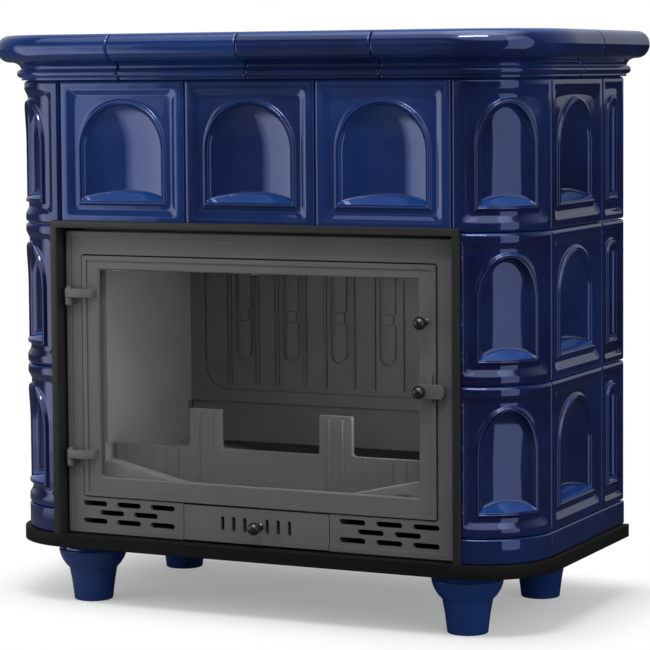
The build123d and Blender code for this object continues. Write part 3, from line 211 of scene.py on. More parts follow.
class Build:
    """Adds nodes to the tree of one material, world or Geometry Nodes group."""

    def __init__(self, owner):
        owner.use_nodes = True
        self.tree = owner.node_tree
        self.tree.nodes.clear()

    def node(self, kind, settings=None, sockets=None, output=0):
        """A node of a kind: its settings first, then its sockets' values or links."""
        made = self.tree.nodes.new(kind)
        for key, value in (settings or {}).items():
            if key == "captures":
                for name, capture_kind in value.items():
                    made.capture_items.new(capture_kind, name)
            else:
                setattr(made, key, value)
        for key, value in (sockets or {}).items():
            entry = self.named(made.inputs, key)
            if isinstance(value, Wire):
                self.tree.links.new(value.socket, entry)
            elif hasattr(value, "__len__") and len(value) < len(entry.default_value):
                entry.default_value = (*value, 1.0)
            else:
                entry.default_value = value
        return Wire(self, self.named(made.outputs, output)) if made.outputs else made

    @staticmethod
    def named(sockets, key):
        """A socket by its number, its identifier or its name."""
        if isinstance(key, int):
            return sockets[key]
        for entry in sockets:
            if entry.identifier == key:
                return entry
        return sockets[key]

    def math(self, operation, *values):
        """A Math node on these values."""
        return self.node("ShaderNodeMath", {"operation": operation}, dict(enumerate(values)))

    def vector(self, operation, *values):
        """A Vector Math node on these vectors."""
        return self.node("ShaderNodeVectorMath", {"operation": operation}, dict(enumerate(values)))

    def scaled(self, vector, factor):
        """A vector times a number."""
        sockets = {0: vector, "Scale": factor}
        return self.node("ShaderNodeVectorMath", {"operation": "SCALE"}, sockets)

    def combine(self, x, y, z):
        return self.node("ShaderNodeCombineXYZ", {}, {"X": x, "Y": y, "Z": z})

    def coordinates(self):
        return self.node("ShaderNodeTexCoord", output="Object")

    def noise(self, scale, detail=2.0, roughness=0.5):
        sockets = {"Vector": self.coordinates(), "Scale": scale, "Detail": detail}
        sockets["Roughness"] = roughness
        return self.node("ShaderNodeTexNoise", {}, sockets)

    def mix(self, factor, first, second):
        """A colour between two colours."""
        sockets = {"Factor_Float": factor, "A_Color": first, "B_Color": second}
        return self.node("ShaderNodeMix", {"data_type": "RGBA"}, sockets, "Result_Color")

    def bump(self, height, distance, strength=1.0):
        sockets = {"Strength": strength, "Distance": distance, "Height": height}
        return self.node("ShaderNodeBump", {}, sockets)

    def principled(self, sockets):
        return self.node("ShaderNodeBsdfPrincipled", {}, sockets)

    def surface(self, shader):
        """Ends a material in a shader."""
        self.node("ShaderNodeOutputMaterial", {}, {"Surface": shader})

    def finish(self, sockets):
        """Ends a material in one Principled shader."""
        self.surface(self.principled(sockets))


class Recipe(Build):
    """A Geometry Nodes group with named sizes, grown on an outline into a plain mesh."""

    KINDS = {float: "NodeSocketFloat", int: "NodeSocketInt", tuple: "NodeSocketVector"}

    def __init__(self, name, sizes):
        self.tree = bpy.data.node_groups.new(name, "GeometryNodeTree")
        socket = self.tree.interface.new_socket
        socket("Outline", in_out="INPUT", socket_type="NodeSocketGeometry")
        for label, value in sizes.items():
            entry = socket(label, in_out="INPUT", socket_type=self.KINDS[type(value)])
            entry.default_value = value
        socket("Finish", in_out="INPUT", socket_type="NodeSocketMaterial")
        socket("Shape", in_out="OUTPUT", socket_type="NodeSocketGeometry")
        self.entry = self.tree.nodes.new("NodeGroupInput")

    def given(self, label):
        """One of the group's inputs."""
        return Wire(self, self.entry.outputs[label])

    def end(self, shape):
        """Makes every instance real, sets the material and ends the group."""
        real = self.node("GeometryNodeRealizeInstances", {}, {"Geometry": shape})
        sockets = {"Geometry": real, "Material": self.given("Finish")}
        finished = self.node("GeometryNodeSetMaterial", {}, sockets)
        self.node("NodeGroupOutput", {}, {"Shape": finished})

    def grow(self, name, vertices, edges, surface, sizes):
        """The plain mesh that the group makes of an outline."""
        mesh = bpy.data.meshes.new(name + "_outline")
        mesh.from_pydata([tuple(v) for v in vertices], edges, [])
        holder = stand(name + "_outline", mesh)
        modifier = holder.modifiers.new("recipe", "NODES")
        modifier.node_group = self.tree
        values = {**sizes, "Finish": surface}
        for item in self.tree.interface.items_tree:
            if item.in_out == "INPUT" and item.name in values:
                modifier[item.identifier] = values[item.name]
        return settled(holder, name)


MATERIALS = {}


def grey(level):
    """A neutral colour."""
    return (level, level, level)


def darker(shade, share):
    """A share of a colour's brightness."""
    return tuple(min(1.0, part * share) for part in shade)


def material(name, make):
    """A named material, made once."""
    if name not in MATERIALS:
        made = bpy.data.materials.new(name)
        make(Build(made))
        MATERIALS[name] = made
    return MATERIALS[name]


def glaze():
    """Cobalt glaze: deep colour in slow clouds, brighter on upward-facing ledges as painted light
    from above together with pooled glaze, barely wavy.
    """
    look = bpy.context.scene.stove_glaze

    def make(b):
        cloud = b.noise(7.0, 3.0)
        speck = b.noise(190.0, 1.0)
        tone = b.node("ShaderNodeAttribute", {"attribute_name": "tone"}, {}, "Fac")
        thinness = (tone + cloud * 0.9 + speck * 0.2 - 0.55).clamped(0.0, 1.0)
        body = b.mix(thinness, tuple(look.deep), tuple(look.thin))
        normal = b.node("ShaderNodeNewGeometry", output="Normal")
        # Painted light from above: faces that turn upwards, the ledges and sills, are mixed
        # towards the brighter pooled colour.
        upward = b.node("ShaderNodeSeparateXYZ", {}, {0: normal}, "Z").spread(0.66, 0.82)
        shade = b.mix(upward, body, tuple(look.pool))
        wave = b.noise(16.0, 1.0)
        skin = b.noise(95.0, 1.0)
        b.finish({
            "Base Color": shade,
            "Roughness": (cloud * 0.03 + (look.roughness - 0.012)).clamped(0.0, 1.0),
            "IOR": 1.8,
            "Specular Tint": tuple(look.tint),
            "Normal": b.bump(wave + skin * 0.03, 0.0012, 0.3),
        })

    return material("cobalt_glaze", make)


def stove_paint(name, paint, roughness, shine=0.3):
    """Matt heat-proof paint on a casting or a sheet, with a fine grain."""

    def make(b):
        grit = b.noise(900.0, 3.0, 0.6)
        patch = b.noise(14.0, 3.0)
        shade = b.mix(patch.clamped(0.3, 0.7), darker(paint, 0.88), darker(paint, 1.12))
        b.finish({
            "Base Color": shade,
            "Roughness": (patch * 0.12 + (roughness - 0.06)).clamped(0.05, 1.0),
            "Specular IOR Level": shine,
            "Normal": b.bump(grit, 0.0001, 0.6),
        })

    return material(name, make)


def bare_iron(name, iron, shaded_flanks=False):
    """A rough casting from a sand mould, sooty in patches, and where asked with painted shade on
    the flanks of its ribs.
    """

    def make(b):
        sand = b.noise(350.0, 4.0, 0.65)
        soot = b.noise(7.0, 4.0, 0.6)
        shade = b.mix((soot * 1.6 - 0.3).clamped(0.0, 1.0), darker(iron, 0.7), iron)
        if shaded_flanks:
            # Painted shade: faces that do not face the front, the flanks of ribs and grooves, are
            # darkened.
            normal = b.node("ShaderNodeTexCoord", output="Normal")
            facing = b.math("ABSOLUTE", b.node("ShaderNodeSeparateXYZ", {}, {0: normal}, "Y"))
            shade = b.mix(facing.spread(0.5, 0.95), darker(iron, 0.1), shade)
        b.finish({
            "Base Color": shade,
            "Roughness": (soot * 0.2 + 0.5).clamped(0.1, 1.0),
            "Normal": b.bump(sand, 0.0004, 0.7),
        })

    return material(name, make)


def plain_steel(name, steel, roughness):
    """Bare sheet with a faint drawn grain."""

    def make(b):
        streak = b.noise(240.0, 2.0)
        b.finish({
            "Base Color": steel,
            "Metallic": 1.0,
            "Roughness": (streak * 0.15 + roughness).clamped(0.05, 1.0),
        })

    return material(name, make)


def black_resin():
    """Glossy black resin of the knobs."""

    def make(b):
        ripple = b.noise(60.0, 2.0)
        b.finish({
            "Base Color": (0.012, 0.012, 0.013),
            "Roughness": ripple * 0.10 + 0.12,
            "IOR": 1.52,
        })

    return material("black_resin", make)


def clear_glass():
    """Clear heat-proof glass, faintly grey, that lets the light through."""

    def make(b):
        smear = b.noise(9.0, 3.0)
        b.finish({
            "Base Color": grey(0.03),
            "Roughness": smear * 0.05 + 0.01,
            "IOR": 1.47,
            "Alpha": smear * 0.05 + 0.12,
        })

    return material("clear_glass", make)


def seal_rope():
    """Grey glass-fibre rope."""

    def make(b):
        fibre = b.noise(900.0, 3.0)
        shade = b.mix(fibre, (0.07, 0.07, 0.065), (0.17, 0.17, 0.16))
        b.finish({"Base Color": shade, "Roughness": 0.9, "Normal": b.bump(fibre, 0.0004)})

    return material("seal_rope", make)


# ------------------------ mesh helpers
def toned(mesh, tone):
    """Writes down on a mesh how thin its glaze has run, from 0 to 1."""
    values = np.full(len(mesh.vertices), tone, dtype=np.float32)
    mesh.attributes.new("tone", "FLOAT", "POINT").data.foreach_set("value", values)
    return mesh


def declare(name, mesh, body, surface, slot, stands_for=()):
    """Puts a finished mesh in the scene as a piece that rides on a body."""
    piece = stand(name, mesh)
    mesh.materials.clear()
    mesh.materials.append(surface)
    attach(piece, body)
    if stands_for:
        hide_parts(*stands_for)
    return piece


def closed(mesh):
    """Merges doubles, fills open ends and turns every face outwards."""
    work = bmesh.new()
    work.from_mesh(mesh)
    bmesh.ops.remove_doubles(work, verts=work.verts, dist=1e-6)
    bmesh.ops.holes_fill(work, edges=work.edges, sides=0)
    bmesh.ops.recalc_face_normals(work, faces=work.faces)
    for face in work.faces:
        face.smooth = True
    work.to_mesh(mesh)
    work.free()
    return mesh


def glazed_piece(name, vertices, faces, slot, node, tone):
    """Makes a closed glazed piece with outward faces from points and faces."""
    mesh = bpy.data.meshes.new(name)
    mesh.from_pydata([tuple(v) for v in vertices], [], faces)
    return declare(name, toned(closed(mesh), tone), "stove", glaze(), slot, [node])


def ring_faces(count, length):
    """Quads between successive rings of the same length, with a cap at each end."""
    faces = []
    for ring in range(count - 1):
        first, second = ring * length, (ring + 1) * length
        for i in range(length):
            j = (i + 1) % length
            faces.append((first + i, first + j, second + j, second + i))
    faces.append(tuple(range(length - 1, -1, -1)))
    last = (count - 1) * length
    faces.append(tuple(range(last, last + length)))
    return faces


def arc(centre, radius, start, end, count):
    """Points of an arc, angles in degrees."""
    angles = np.radians(np.linspace(start, end, count))
    return [(centre[0] + radius * math.cos(a), centre[1] + radius * math.sin(a)) for a in angles]


def dress(surface, *nodes):
    """Gives CAD nodes their finish."""
    for node in nodes:
        mesh = NODES[node].data
        mesh.materials.clear()
        mesh.materials.append(surface)


def bevelled(node, surface, slot, body, width):
    """A copy of a CAD node with rounded edges, which stands for it."""
    flat, sharp = math.radians(2), math.radians(40)
    work = bmesh.new()
    work.from_mesh(NODES[node].data)
    bmesh.ops.remove_doubles(work, verts=work.verts, dist=2e-5)
    bmesh.ops.dissolve_limit(work, angle_limit=flat, verts=work.verts, edges=work.edges)
    mesh = bpy.data.meshes.new(node + "_sharp")
    work.to_mesh(mesh)
    work.free()
    holder = stand(node + "_sharp", mesh)
    modifier = holder.modifiers.new("edges", "BEVEL")
    modifier.width = width
    modifier.segments = 2
    modifier.angle_limit = sharp
    name = node + "_cast"
    return declare(name, settled(holder, name), body, surface, slot, [node])


# ------------------------ relief tiles
def eased(steps):
    """Fractions from 0 to just under 1, closer together at both ends."""
    return (1 - np.cos(np.pi * np.arange(steps) / steps)) / 2


def rounded_rectangle(left, right, low, high, radius, steps):
    """A rectangle's outline from the middle of its lower left corner, steps points to a side."""
    radius = max(radius, 1e-5)
    bend = radius * math.pi / 4
    sides = []
    for x, y, dx, dy, length in (
        (left, low, 1, 0, right - left),
        (right, low, 0, 1, high - low),
        (right, high, -1, 0, right - left),
        (left, high, 0, -1, high - low),
    ):
        straight = length - 2 * radius
        run = eased(steps) * (straight + 2 * bend)
        first = np.maximum(bend - run, 0) / radius
        last = np.maximum(run - bend - straight, 0) / radius
        along = radius * (1 - np.sin(first) + np.sin(last)) + np.clip(run - bend, 0, straight)
        inward = radius * (2 - np.cos(first) - np.cos(last))
        sides.append(np.column_stack([x + dx * along - dy * inward, y + dy * along + dx * inward]))
    return np.vstack(sides)


def arch_ring(arch, inset, steps):
    """An arch's outline, inset all round, with as many points as a rectangle's."""
    half, foot, height, rise = arch
    radius = half - inset
    low = foot + inset
    spring = foot + height - half
    upright = spring - low
    eighth = radius * math.pi / 4
    run = eased(steps)

    def climb(side, share):
        """One side of the arch, up its straight edge and an eighth of the way round."""
        travel = share * (upright + eighth)
        angle = np.maximum(travel - upright, 0) / radius
        level = low + np.minimum(travel, upright) + radius * np.sin(angle)
        return np.column_stack([side * radius * np.cos(angle), level])

    bottom = np.column_stack([-radius + 2 * radius * run, np.full(steps, low)])
    turn = math.pi / 4 + run * math.pi / 2
    top = np.column_stack([radius * np.cos(turn), spring + radius * np.sin(turn)])
    ring = np.vstack([bottom, climb(1, run), top, climb(-1, 1 - run)])
    taller = foot + height - rise
    above = np.maximum(ring[:, 1] - spring, 0) * (rise - inset) / radius
    below = (np.minimum(ring[:, 1], spring) - low) * (taller - low) / (spring - low)
    ring[:, 1] = low + below + above
    return ring


def soft_least(a, b, width):
    """The lesser of two values, rounded where they cross."""
    gap = np.maximum(width - np.abs(a - b), 0) / width
    return np.minimum(a, b) - gap * gap * width / 4


def slope_fall(x):
    """From 0 to 1 along a straight slope with a round shoulder and a round foot."""
    ease = 0.22
    steep = 1 / (1 - ease)
    if x < ease:
        return steep * x * x / (2 * ease)
    if x > 1 - ease:
        return 1 - steep * (1 - x) ** 2 / (2 * ease)
    return steep * (x - ease / 2)


def relief_rings(width, arch, hollow, cut=NO_CUT, narrow=False):
    """A tile's rings from its back edge to the middle of its niche, as (s, t, depth) rows.

    What lies to the left of the cut is left away.
    """
    r = bpy.context.scene.stove_relief
    sharp = 0.0015
    border = r.border * (0.75 if narrow else 1.0)
    slope = r.slope * (0.55 if narrow else 1.0)
    corner = r.corner * (0.6 if narrow else 1.0)
    left, right = -width / 2, width / 2
    rings = []

    def add(ring, level):
        rings.append(np.column_stack([ring, np.ones(len(ring)) * level]))

    def rectangle(inset, level, rounding):
        edge = max(left + inset, cut + min(inset, r.edge))
        top = TILE_HEIGHT - inset
        add(rounded_rectangle(edge, right - inset, inset, top, rounding, r.steps), level)

    # The upright sides, the rounded outer edge and the flat border.
    rectangle(0.0, -TILE_DEPTH, sharp)
    rectangle(0.0, -r.edge, sharp)
    for i in range(1, 7):
        turn = i / 6 * math.pi / 2
        rectangle(r.edge * (1 - math.cos(turn)), -r.edge * (1 - math.sin(turn)), sharp)
    rectangle((r.edge + border) / 2, 0.0, corner * 0.5)
    # The slope down to the field, and the field as far as the arch.
    for i in range(11):
        x = i / 10
        rectangle(border + slope * x, -r.relief * slope_fall(x), corner * (0.8 + 0.2 * x))
    inner = rings[-1][:, :2]
    ground = 0.0016
    outline = arch_ring(arch, -ground, r.steps)
    for i in range(1, 6):
        x = i / 5
        add(inner * (1 - x) + outline * x, -r.relief)
    # The moulding round the arch, a half round whose inner side falls into the niche.
    for i in range(1, 10):
        turn = math.pi * i / 10
        inset = r.rim / 2 * (1 - math.cos(turn))
        ring = arch_ring(arch, inset, r.steps)
        level = -r.relief + r.relief * math.sin(turn) ** 0.75
        if i > 7:
            level = np.minimum(level, np.maximum(-hollow(ring, r.rim), level - 0.004))
        add(ring, level)
    # The niche, from its mouth to its middle.
    mouth = arch_ring(arch, r.rim, r.steps)
    add(mouth, -hollow(mouth, r.rim))
    middle = np.array([0.0, arch[1] + arch[2] * 0.42])
    for x in np.concatenate([[0.985], np.linspace(0.96, 0.02, 27)]):
        ring = middle + (mouth - middle) * x
        add(ring, -hollow(ring, r.rim))
    return rings


def niche_hollow(arch, edge, deepest, slant, radius=None):
    """Depth of a niche: an upright hollow with a domed top over a floor that slants inwards.

    Just inside the moulding the wall is edge deep, and in the middle it is deepest. In a corner
    of the given radius both are measured from the corner's foremost line.
    """
    half, foot, height, rise = arch
    lip, blend, least = 0.005, 0.0025, 0.0002

    def hollow(ring, rim):
        inner = half - rim
        above = np.maximum(ring[:, 1] - (foot + height - rise), 0) * inner / (rise - rim)
        share = np.clip(np.hypot(ring[:, 0], above) / inner, 0, 1)
        wall = edge + (deepest - edge) * (1 - share**2)
        if radius:
            wall = radius - (radius - wall) / np.cos(ring[:, 0] / radius)
        near = np.clip((share - 1) * inner / lip + 1, 0, 1)
        wall = wall * np.sqrt(np.maximum(1 - near**2, 0))
        floor = np.maximum(ring[:, 1] - foot - rim, 0) * slant
        return np.maximum(soft_least(wall, floor, blend), 0.0) + least

    return hollow


def tile_piece(name, rings, place, tone):
    """Puts a tile's rings in place and closes them into one piece."""
    points = [place(ring[:, 0], ring[:, 1], ring[:, 2]) for ring in rings]
    faces = ring_faces(len(points), len(points[0]))
    return glazed_piece(name + "_relief", np.vstack(points), faces, "glaze", name, tone)


def flat_place(node, side):
    """How a flat tile's (s, t, depth) become positions: side 0 is the front."""
    low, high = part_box(node)
    middle = (low + high) / 2

    def front(s, t, d):
        return np.column_stack([middle.x + s, low.y - d, low.z + t])

    def beside(s, t, d):
        face = high.x if side > 0 else -low.x
        return np.column_stack([side * (face + d), middle.y + side * s, low.z + t])

    return front if side == 0 else beside


def corner_place(node, side):
    """How a corner tile's (s, t, depth) become positions, s measured from its diagonal."""
    low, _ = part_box(node)

    def place(s, t, d):
        angle = math.pi / 4 + side * s / CORNER_RADIUS
        reach = CORNER_RADIUS + d
        across = side * (CORNER_X + reach * np.sin(angle))
        return np.column_stack([across, CORNER_Y - reach * np.cos(angle), low.z + t])

    return place


class STOVE_OT_tiles(bpy.types.Operator):
    """Makes the glazed relief tiles of the front, the sides and the round corners"""

    bl_idname = "stove.tiles"
    bl_label = "Relief tiles"

    def execute(self, context):
        hollow = niche_hollow(FULL_ARCH, edge=0.008, deepest=0.025, slant=1.7)
        full = relief_rings(TILE_WIDTH, FULL_ARCH, hollow)
        for name, tone in (("left", 0.72), ("middle", 0.36), ("right", 0.54)):
            node = f"front_tile_{name}"
            tile_piece(node, full, flat_place(node, 0), tone)
        low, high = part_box("narrow_tile_upper_right")
        hollow = niche_hollow(SLIM_ARCH, edge=0.006, deepest=0.012, slant=1.0)
        slim = relief_rings(high.y - low.y, SLIM_ARCH, hollow, narrow=True)
        hollow = niche_hollow(
            CORNER_ARCH, edge=0.0188, deepest=0.024, slant=1.6, radius=CORNER_RADIUS
        )
        for row, lift in zip(ROWS, (0.0, 0.06, -0.04)):
            for side_name, side in SIDES:
                node = f"side_tile_{row}_{side_name}"
                tile_piece(node, full, flat_place(node, side), 0.17 + lift)
                node = f"narrow_tile_{row}_{side_name}"
                tile_piece(node, slim, flat_place(node, side), 0.15 - lift)
                node = f"corner_tile_{row}_{side_name}"
                cut = NO_CUT if row == "upper" else self.cut(node, side)
                width = CORNER_RUN - 2 * HALF_JOINT
                rings = relief_rings(width, CORNER_ARCH, hollow, cut)
                if side < 0:
                    rings = [ring * (-1, 1, 1) for ring in rings]
                tile_piece(node, rings, corner_place(node, side), 0.16 - lift)
        return {"FINISHED"}

    @staticmethod
    def cut(node, side):
        """Where a corner tile beside the insert starts, as a distance from its diagonal."""
        low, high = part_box(node)
        inner = low.x if side > 0 else -high.x
        angle = math.asin((inner - CORNER_X) / (CORNER_RADIUS - TILE_DEPTH))
        return (angle - math.pi / 4) * CORNER_RADIUS


# ------------------------ crown, plinth and feet
def moulding():
    """A section carried along the front, round the corner and back along the side."""
    sizes = {
        "Start": 0.0, "End": 0.2, "Front Run": CORNER_X, "Corner Radius": CORNER_RADIUS,
        "Front": FRONT_Y, "Side": 1.0, "End Rounding": 0.003, "Count": 96,
    }
    r = Recipe("moulding", sizes)
    start, end, front_run, radius = (r.given(name) for name in list(sizes)[:4])
    side, rounding = r.given("Side"), r.given("End Rounding")
    ends = {"Start": (0.0, 0.0, 0.0), "End": (1.0, 0.0, 0.0)}
    line = r.node("GeometryNodeCurvePrimitiveLine", {}, ends)
    sockets = {"Curve": line, "Count": r.given("Count")}
    line = r.node("GeometryNodeResampleCurve", {"mode": "COUNT"}, sockets)
    factor = r.node("GeometryNodeSplineParameter", output="Factor")
    run = start + (end - start) * (1 - r.math("COSINE", factor * math.pi)) * 0.5
    turn = ((run - front_run) / radius).clamped(0.0, math.pi / 2)
    beyond = (run - front_run - radius * (math.pi / 2)).most(0.0)
    x = run.least(front_run) + radius * r.math("SINE", turn)
    y = r.given("Front") + radius * (1 - r.math("COSINE", turn)) + beyond
    sockets = {"Geometry": line, "reach": (run - start).least(end - run)}
    line = r.node("GeometryNodeCaptureAttribute", {"captures": {"reach": "FLOAT"}}, sockets)
    sockets = {"Geometry": line, "Position": r.combine(x * side, y, 0.0)}
    path = r.node("GeometryNodeSetPosition", {}, sockets)
    path = r.node("GeometryNodeSetCurveNormal", {"mode": "Z_UP"}, {"Curve": path})
    section = r.node("GeometryNodeMeshToCurve", {}, {"Mesh": r.given("Outline")})
    sockets = {"Geometry": section, "Scale": r.combine(side, -1.0, 1.0)}
    section = r.node("GeometryNodeTransform", {}, sockets)
    swept = r.node("GeometryNodeCurveToMesh", {}, {"Curve": path, "Profile Curve": section})
    short = (rounding - line.out("reach")).most(0.0)
    inset = rounding - r.math("SQRT", (rounding * rounding - short * short).most(0.0))
    offset = r.scaled(r.node("GeometryNodeInputNormal"), inset * side)
    swept = r.node("GeometryNodeSetPosition", {}, {"Geometry": swept, "Offset": offset})
    r.end(r.node("GeometryNodeSetShadeSmooth", {}, {"Geometry": swept}))
    return r


def crown_profile():
    """The crown's section: bed, lip, bead, cove, half-round nose, flat top and hollow back."""
    nose = 0.021
    reach, height = CROWN_REACH, CROWN_HEIGHT
    foot = height - 2 * nose
    tiny = 0.0008
    bed = TILE_HIGH.z - CROWN_LOW.z + 0.00002
    points = [(-0.030, bed), (-0.006, bed), (-0.0055, 0.0), (0.004 - tiny, 0.0)]
    points += arc((0.004 - tiny, tiny), tiny, -60, 0, 3)
    points += arc((0.004 - tiny, 0.004 - tiny), tiny, 0, 60, 3)
    points += arc((0.0045, 0.0105), 0.0065, -80, 90, 14)
    points += [
        (0.020 - 0.0155 * math.cos(a), 0.017 + (foot - 0.017) * math.sin(a))
        for a in np.radians(np.linspace(6, 88, 10))
    ]
    points += arc((reach - nose, height - nose), nose, -90, 90, 30)
    ledge, shelf = height - 0.004, height - 0.017
    points += [(-0.027, height), (-0.028, height - 0.001), (-0.028, ledge), (-0.040, ledge)]
    return points + [(-0.040, shelf), (-0.013, shelf), (-0.013, 0.013), (-0.030, 0.013)]


def plinth_profile():
    """A plinth tile's section, with its two outer edges rounded."""
    edge = 0.0025
    points = [(-TILE_DEPTH, PLINTH_LOW.z), (-edge, PLINTH_LOW.z)]
    points += arc((-edge, PLINTH_LOW.z + edge), edge, -90, 0, 6)[1:]
    points += arc((-edge, PLINTH_HIGH.z - edge), edge, 0, 90, 6)[:-1]
    return points + [(-edge, PLINTH_HIGH.z), (-TILE_DEPTH, PLINTH_HIGH.z)]


def run_moulding(recipe, name, profile, span, side, node, rounding, tone):
    """One length of moulding between two distances along the case's outline."""
    vertices = [(x, y, 0.0) for x, y in profile]
    sizes = {"Start": span[0], "End": span[1], "Side": float(side), "End Rounding": rounding}
    mesh = closed(recipe.grow(name, vertices, loop_edges(vertices), glaze(), sizes))
    slot = "crown_glaze" if node.startswith("crown") else "glaze"
    return declare(name, toned(mesh, tone), "stove", glaze(), slot, [node])


class STOVE_OT_crown(bpy.types.Operator):
    """Carries the moulded crown and the plain plinth round the case"""

    bl_idname = "stove.crown"
    bl_label = "Crown and plinth"

    def execute(self, context):
        recipe = moulding()
        corner_end = CORNER_X + CORNER_RUN
        crown = [(x, y + CROWN_LOW.z) for x, y in crown_profile()]
        spans = {
            "front": (HALF_JOINT, TILE_PITCH - HALF_JOINT),
            "corner": (TILE_PITCH + HALF_JOINT, corner_end + TILE_PITCH / 2 - HALF_JOINT),
            "side": (corner_end + TILE_PITCH / 2 + HALF_JOINT, CASE_RUN),
        }
        sine = (PLINTH_LOW.x - CORNER_X) / (CORNER_RADIUS - TILE_DEPTH)
        cuts = [CORNER_X + CORNER_RADIUS * math.asin(sine), corner_end, corner_end + TILE_PITCH]
        cuts.append(CASE_RUN + HALF_JOINT)
        for side_name, side in SIDES:
            for part, span in spans.items():
                node = f"crown_{part}_{side_name}"
                # Painted light: the crown's glaze is set lighter on the left, standing in for the
                # light from the left, and darker on the right.
                name, tone = node + "_moulding", 0.66 if side < 0 else 0.24
                run_moulding(recipe, name, crown, span, side, node, rounding=0.003, tone=tone)
            node = f"plinth_tiles_{side_name}"
            for i in range(3):
                span = (cuts[i] + (HALF_JOINT if i else 0.0), cuts[i + 1] - HALF_JOINT)
                name, profile = f"{node}_{i + 1}", plinth_profile()
                run_moulding(recipe, name, profile, span, side, node, rounding=0.002, tone=0.2)
        return {"FINISHED"}


def foot_profile(cup, stud_top):
    """A foot from the sole up over its waist, cup and stud, as (radius, height) rows."""
    axis, sole, stud, bend = 0.0001, 0.0285, 0.006, 0.002
    top = BASE_LOW.z
    points = [(axis, 0.0), (sole, 0.0)] + arc((sole, bend), bend, -90, 0, 5)
    points += [(0.0340, 0.030), (0.0378, 0.0505), (0.0392, 0.0522)]
    points += [(0.0440, 0.0572), (0.0490, 0.0650), (0.0522, 0.0730)]
    points += arc((cup - bend, 0.0800), bend, 0, 60, 4)
    points += [(cup - 0.0022, 0.0835), (cup - 0.0015, top - 0.0025), (cup - 0.003, top)]
    return points + [(stud, top), (stud, stud_top), (axis, stud_top)]


def lathe(node, profile, segments=72):
    """Turns (radius, height) rows about the upright line through the middle of a CAD node."""
    low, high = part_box(node)
    centre = np.array(((low + high) / 2)[:2])
    angles = np.linspace(0, 2 * math.pi, segments, endpoint=False)
    turned = np.column_stack([np.cos(angles), np.sin(angles)])
    rings = [
        np.column_stack([centre + turned * radius, np.full(segments, level)])
        for radius, level in profile
    ]
    faces = ring_faces(len(rings), segments)
    return glazed_piece(node + "_turned", np.vstack(rings), faces, "foot_glaze", node, 0.85)


class STOVE_OT_feet(bpy.types.Operator):
    """Turns the four glazed feet"""

    bl_idname = "stove.feet"
    bl_label = "Feet"

    def execute(self, context):
        for row in ("front", "rear"):
            for side_name, _ in SIDES:
                node = f"foot_{row}_{side_name}"
                low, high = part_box(node)
                lathe(node, foot_profile((high.x - low.x) / 2, high.z))
        return {"FINISHED"}


# ------------------------ insert
def twisted_rope():
    """Strands that wind round a closed loop lying in an upright plane."""
    sizes = {
        "Strands": 4, "Turns": 95.0, "Across": 0.0011, "Deep": 0.0022,
        "Strand Radius": 0.0014, "Count": 760,
    }
    r = Recipe("twisted_rope", sizes)
    loop = r.node("GeometryNodeMeshToCurve", {}, {"Mesh": r.given("Outline")})
    sockets = {"Curve": loop, "Count": r.given("Count")}
    loop = r.node("GeometryNodeResampleCurve", {"mode": "COUNT"}, sockets)
    sockets = {
        "Geometry": loop,
        "share": r.node("GeometryNodeSplineParameter", output="Factor"),
        "ahead": r.node("GeometryNodeInputTangent"),
    }
    kinds = {"share": "FLOAT", "ahead": "VECTOR"}
    loop = r.node("GeometryNodeCaptureAttribute", {"captures": kinds}, sockets)
    sockets = {"Geometry": loop, "Amount": r.given("Strands")}
    strands = r.node("GeometryNodeDuplicateElements", {"domain": "SPLINE"}, sockets)
    start = strands.out("Duplicate Index") / r.given("Strands")
    angle = (loop.out("share") * r.given("Turns") + start) * (2 * math.pi)
    through = (0.0, 1.0, 0.0)
    beside = r.vector("CROSS_PRODUCT", loop.out("ahead"), through)
    offset = r.vector(
        "ADD",
        r.scaled(beside, r.math("COSINE", angle) * r.given("Across")),
        r.scaled(through, r.math("SINE", angle) * r.given("Deep")),
    )
    strands = r.node("GeometryNodeSetPosition", {}, {"Geometry": strands, "Offset": offset})
    sockets = {"Resolution": 6, "Radius": r.given("Strand Radius")}
    circle = r.node("GeometryNodeCurvePrimitiveCircle", {}, sockets)
    sockets = {"Curve": strands, "Profile Curve": circle}
    swept = r.node("GeometryNodeCurveToMesh", {}, sockets)
    r.end(r.node("GeometryNodeSetShadeSmooth", {}, {"Geometry": swept}))
    return r


def fasteners():
    """A domed head on every point of the outline, all facing one way."""
    sizes = {"Head Radius": 0.002, "Head Height": 0.001, "Facing": (0.0, 1.0, 0.0), "Segments": 12}
    r = Recipe("fasteners", sizes)
    sockets = {"Segments": r.given("Segments"), "Rings": 8, "Radius": 1.0}
    ball = r.node("GeometryNodeMeshUVSphere", {}, sockets)
    radius = r.given("Head Radius")
    sockets = {"Geometry": ball, "Scale": r.combine(radius, radius, r.given("Head Height"))}
    head = r.node("GeometryNodeTransform", {}, sockets)
    sockets = {"Vector": r.given("Facing")}
    turned = r.node("FunctionNodeAlignRotationToVector", {"axis": "Z"}, sockets)
    sockets = {"Points": r.given("Outline"), "Instance": head, "Rotation": turned}
    placed = r.node("GeometryNodeInstanceOnPoints", {}, sockets)
    r.end(r.node("GeometryNodeSetShadeSmooth", {}, {"Geometry": placed}))
    return r


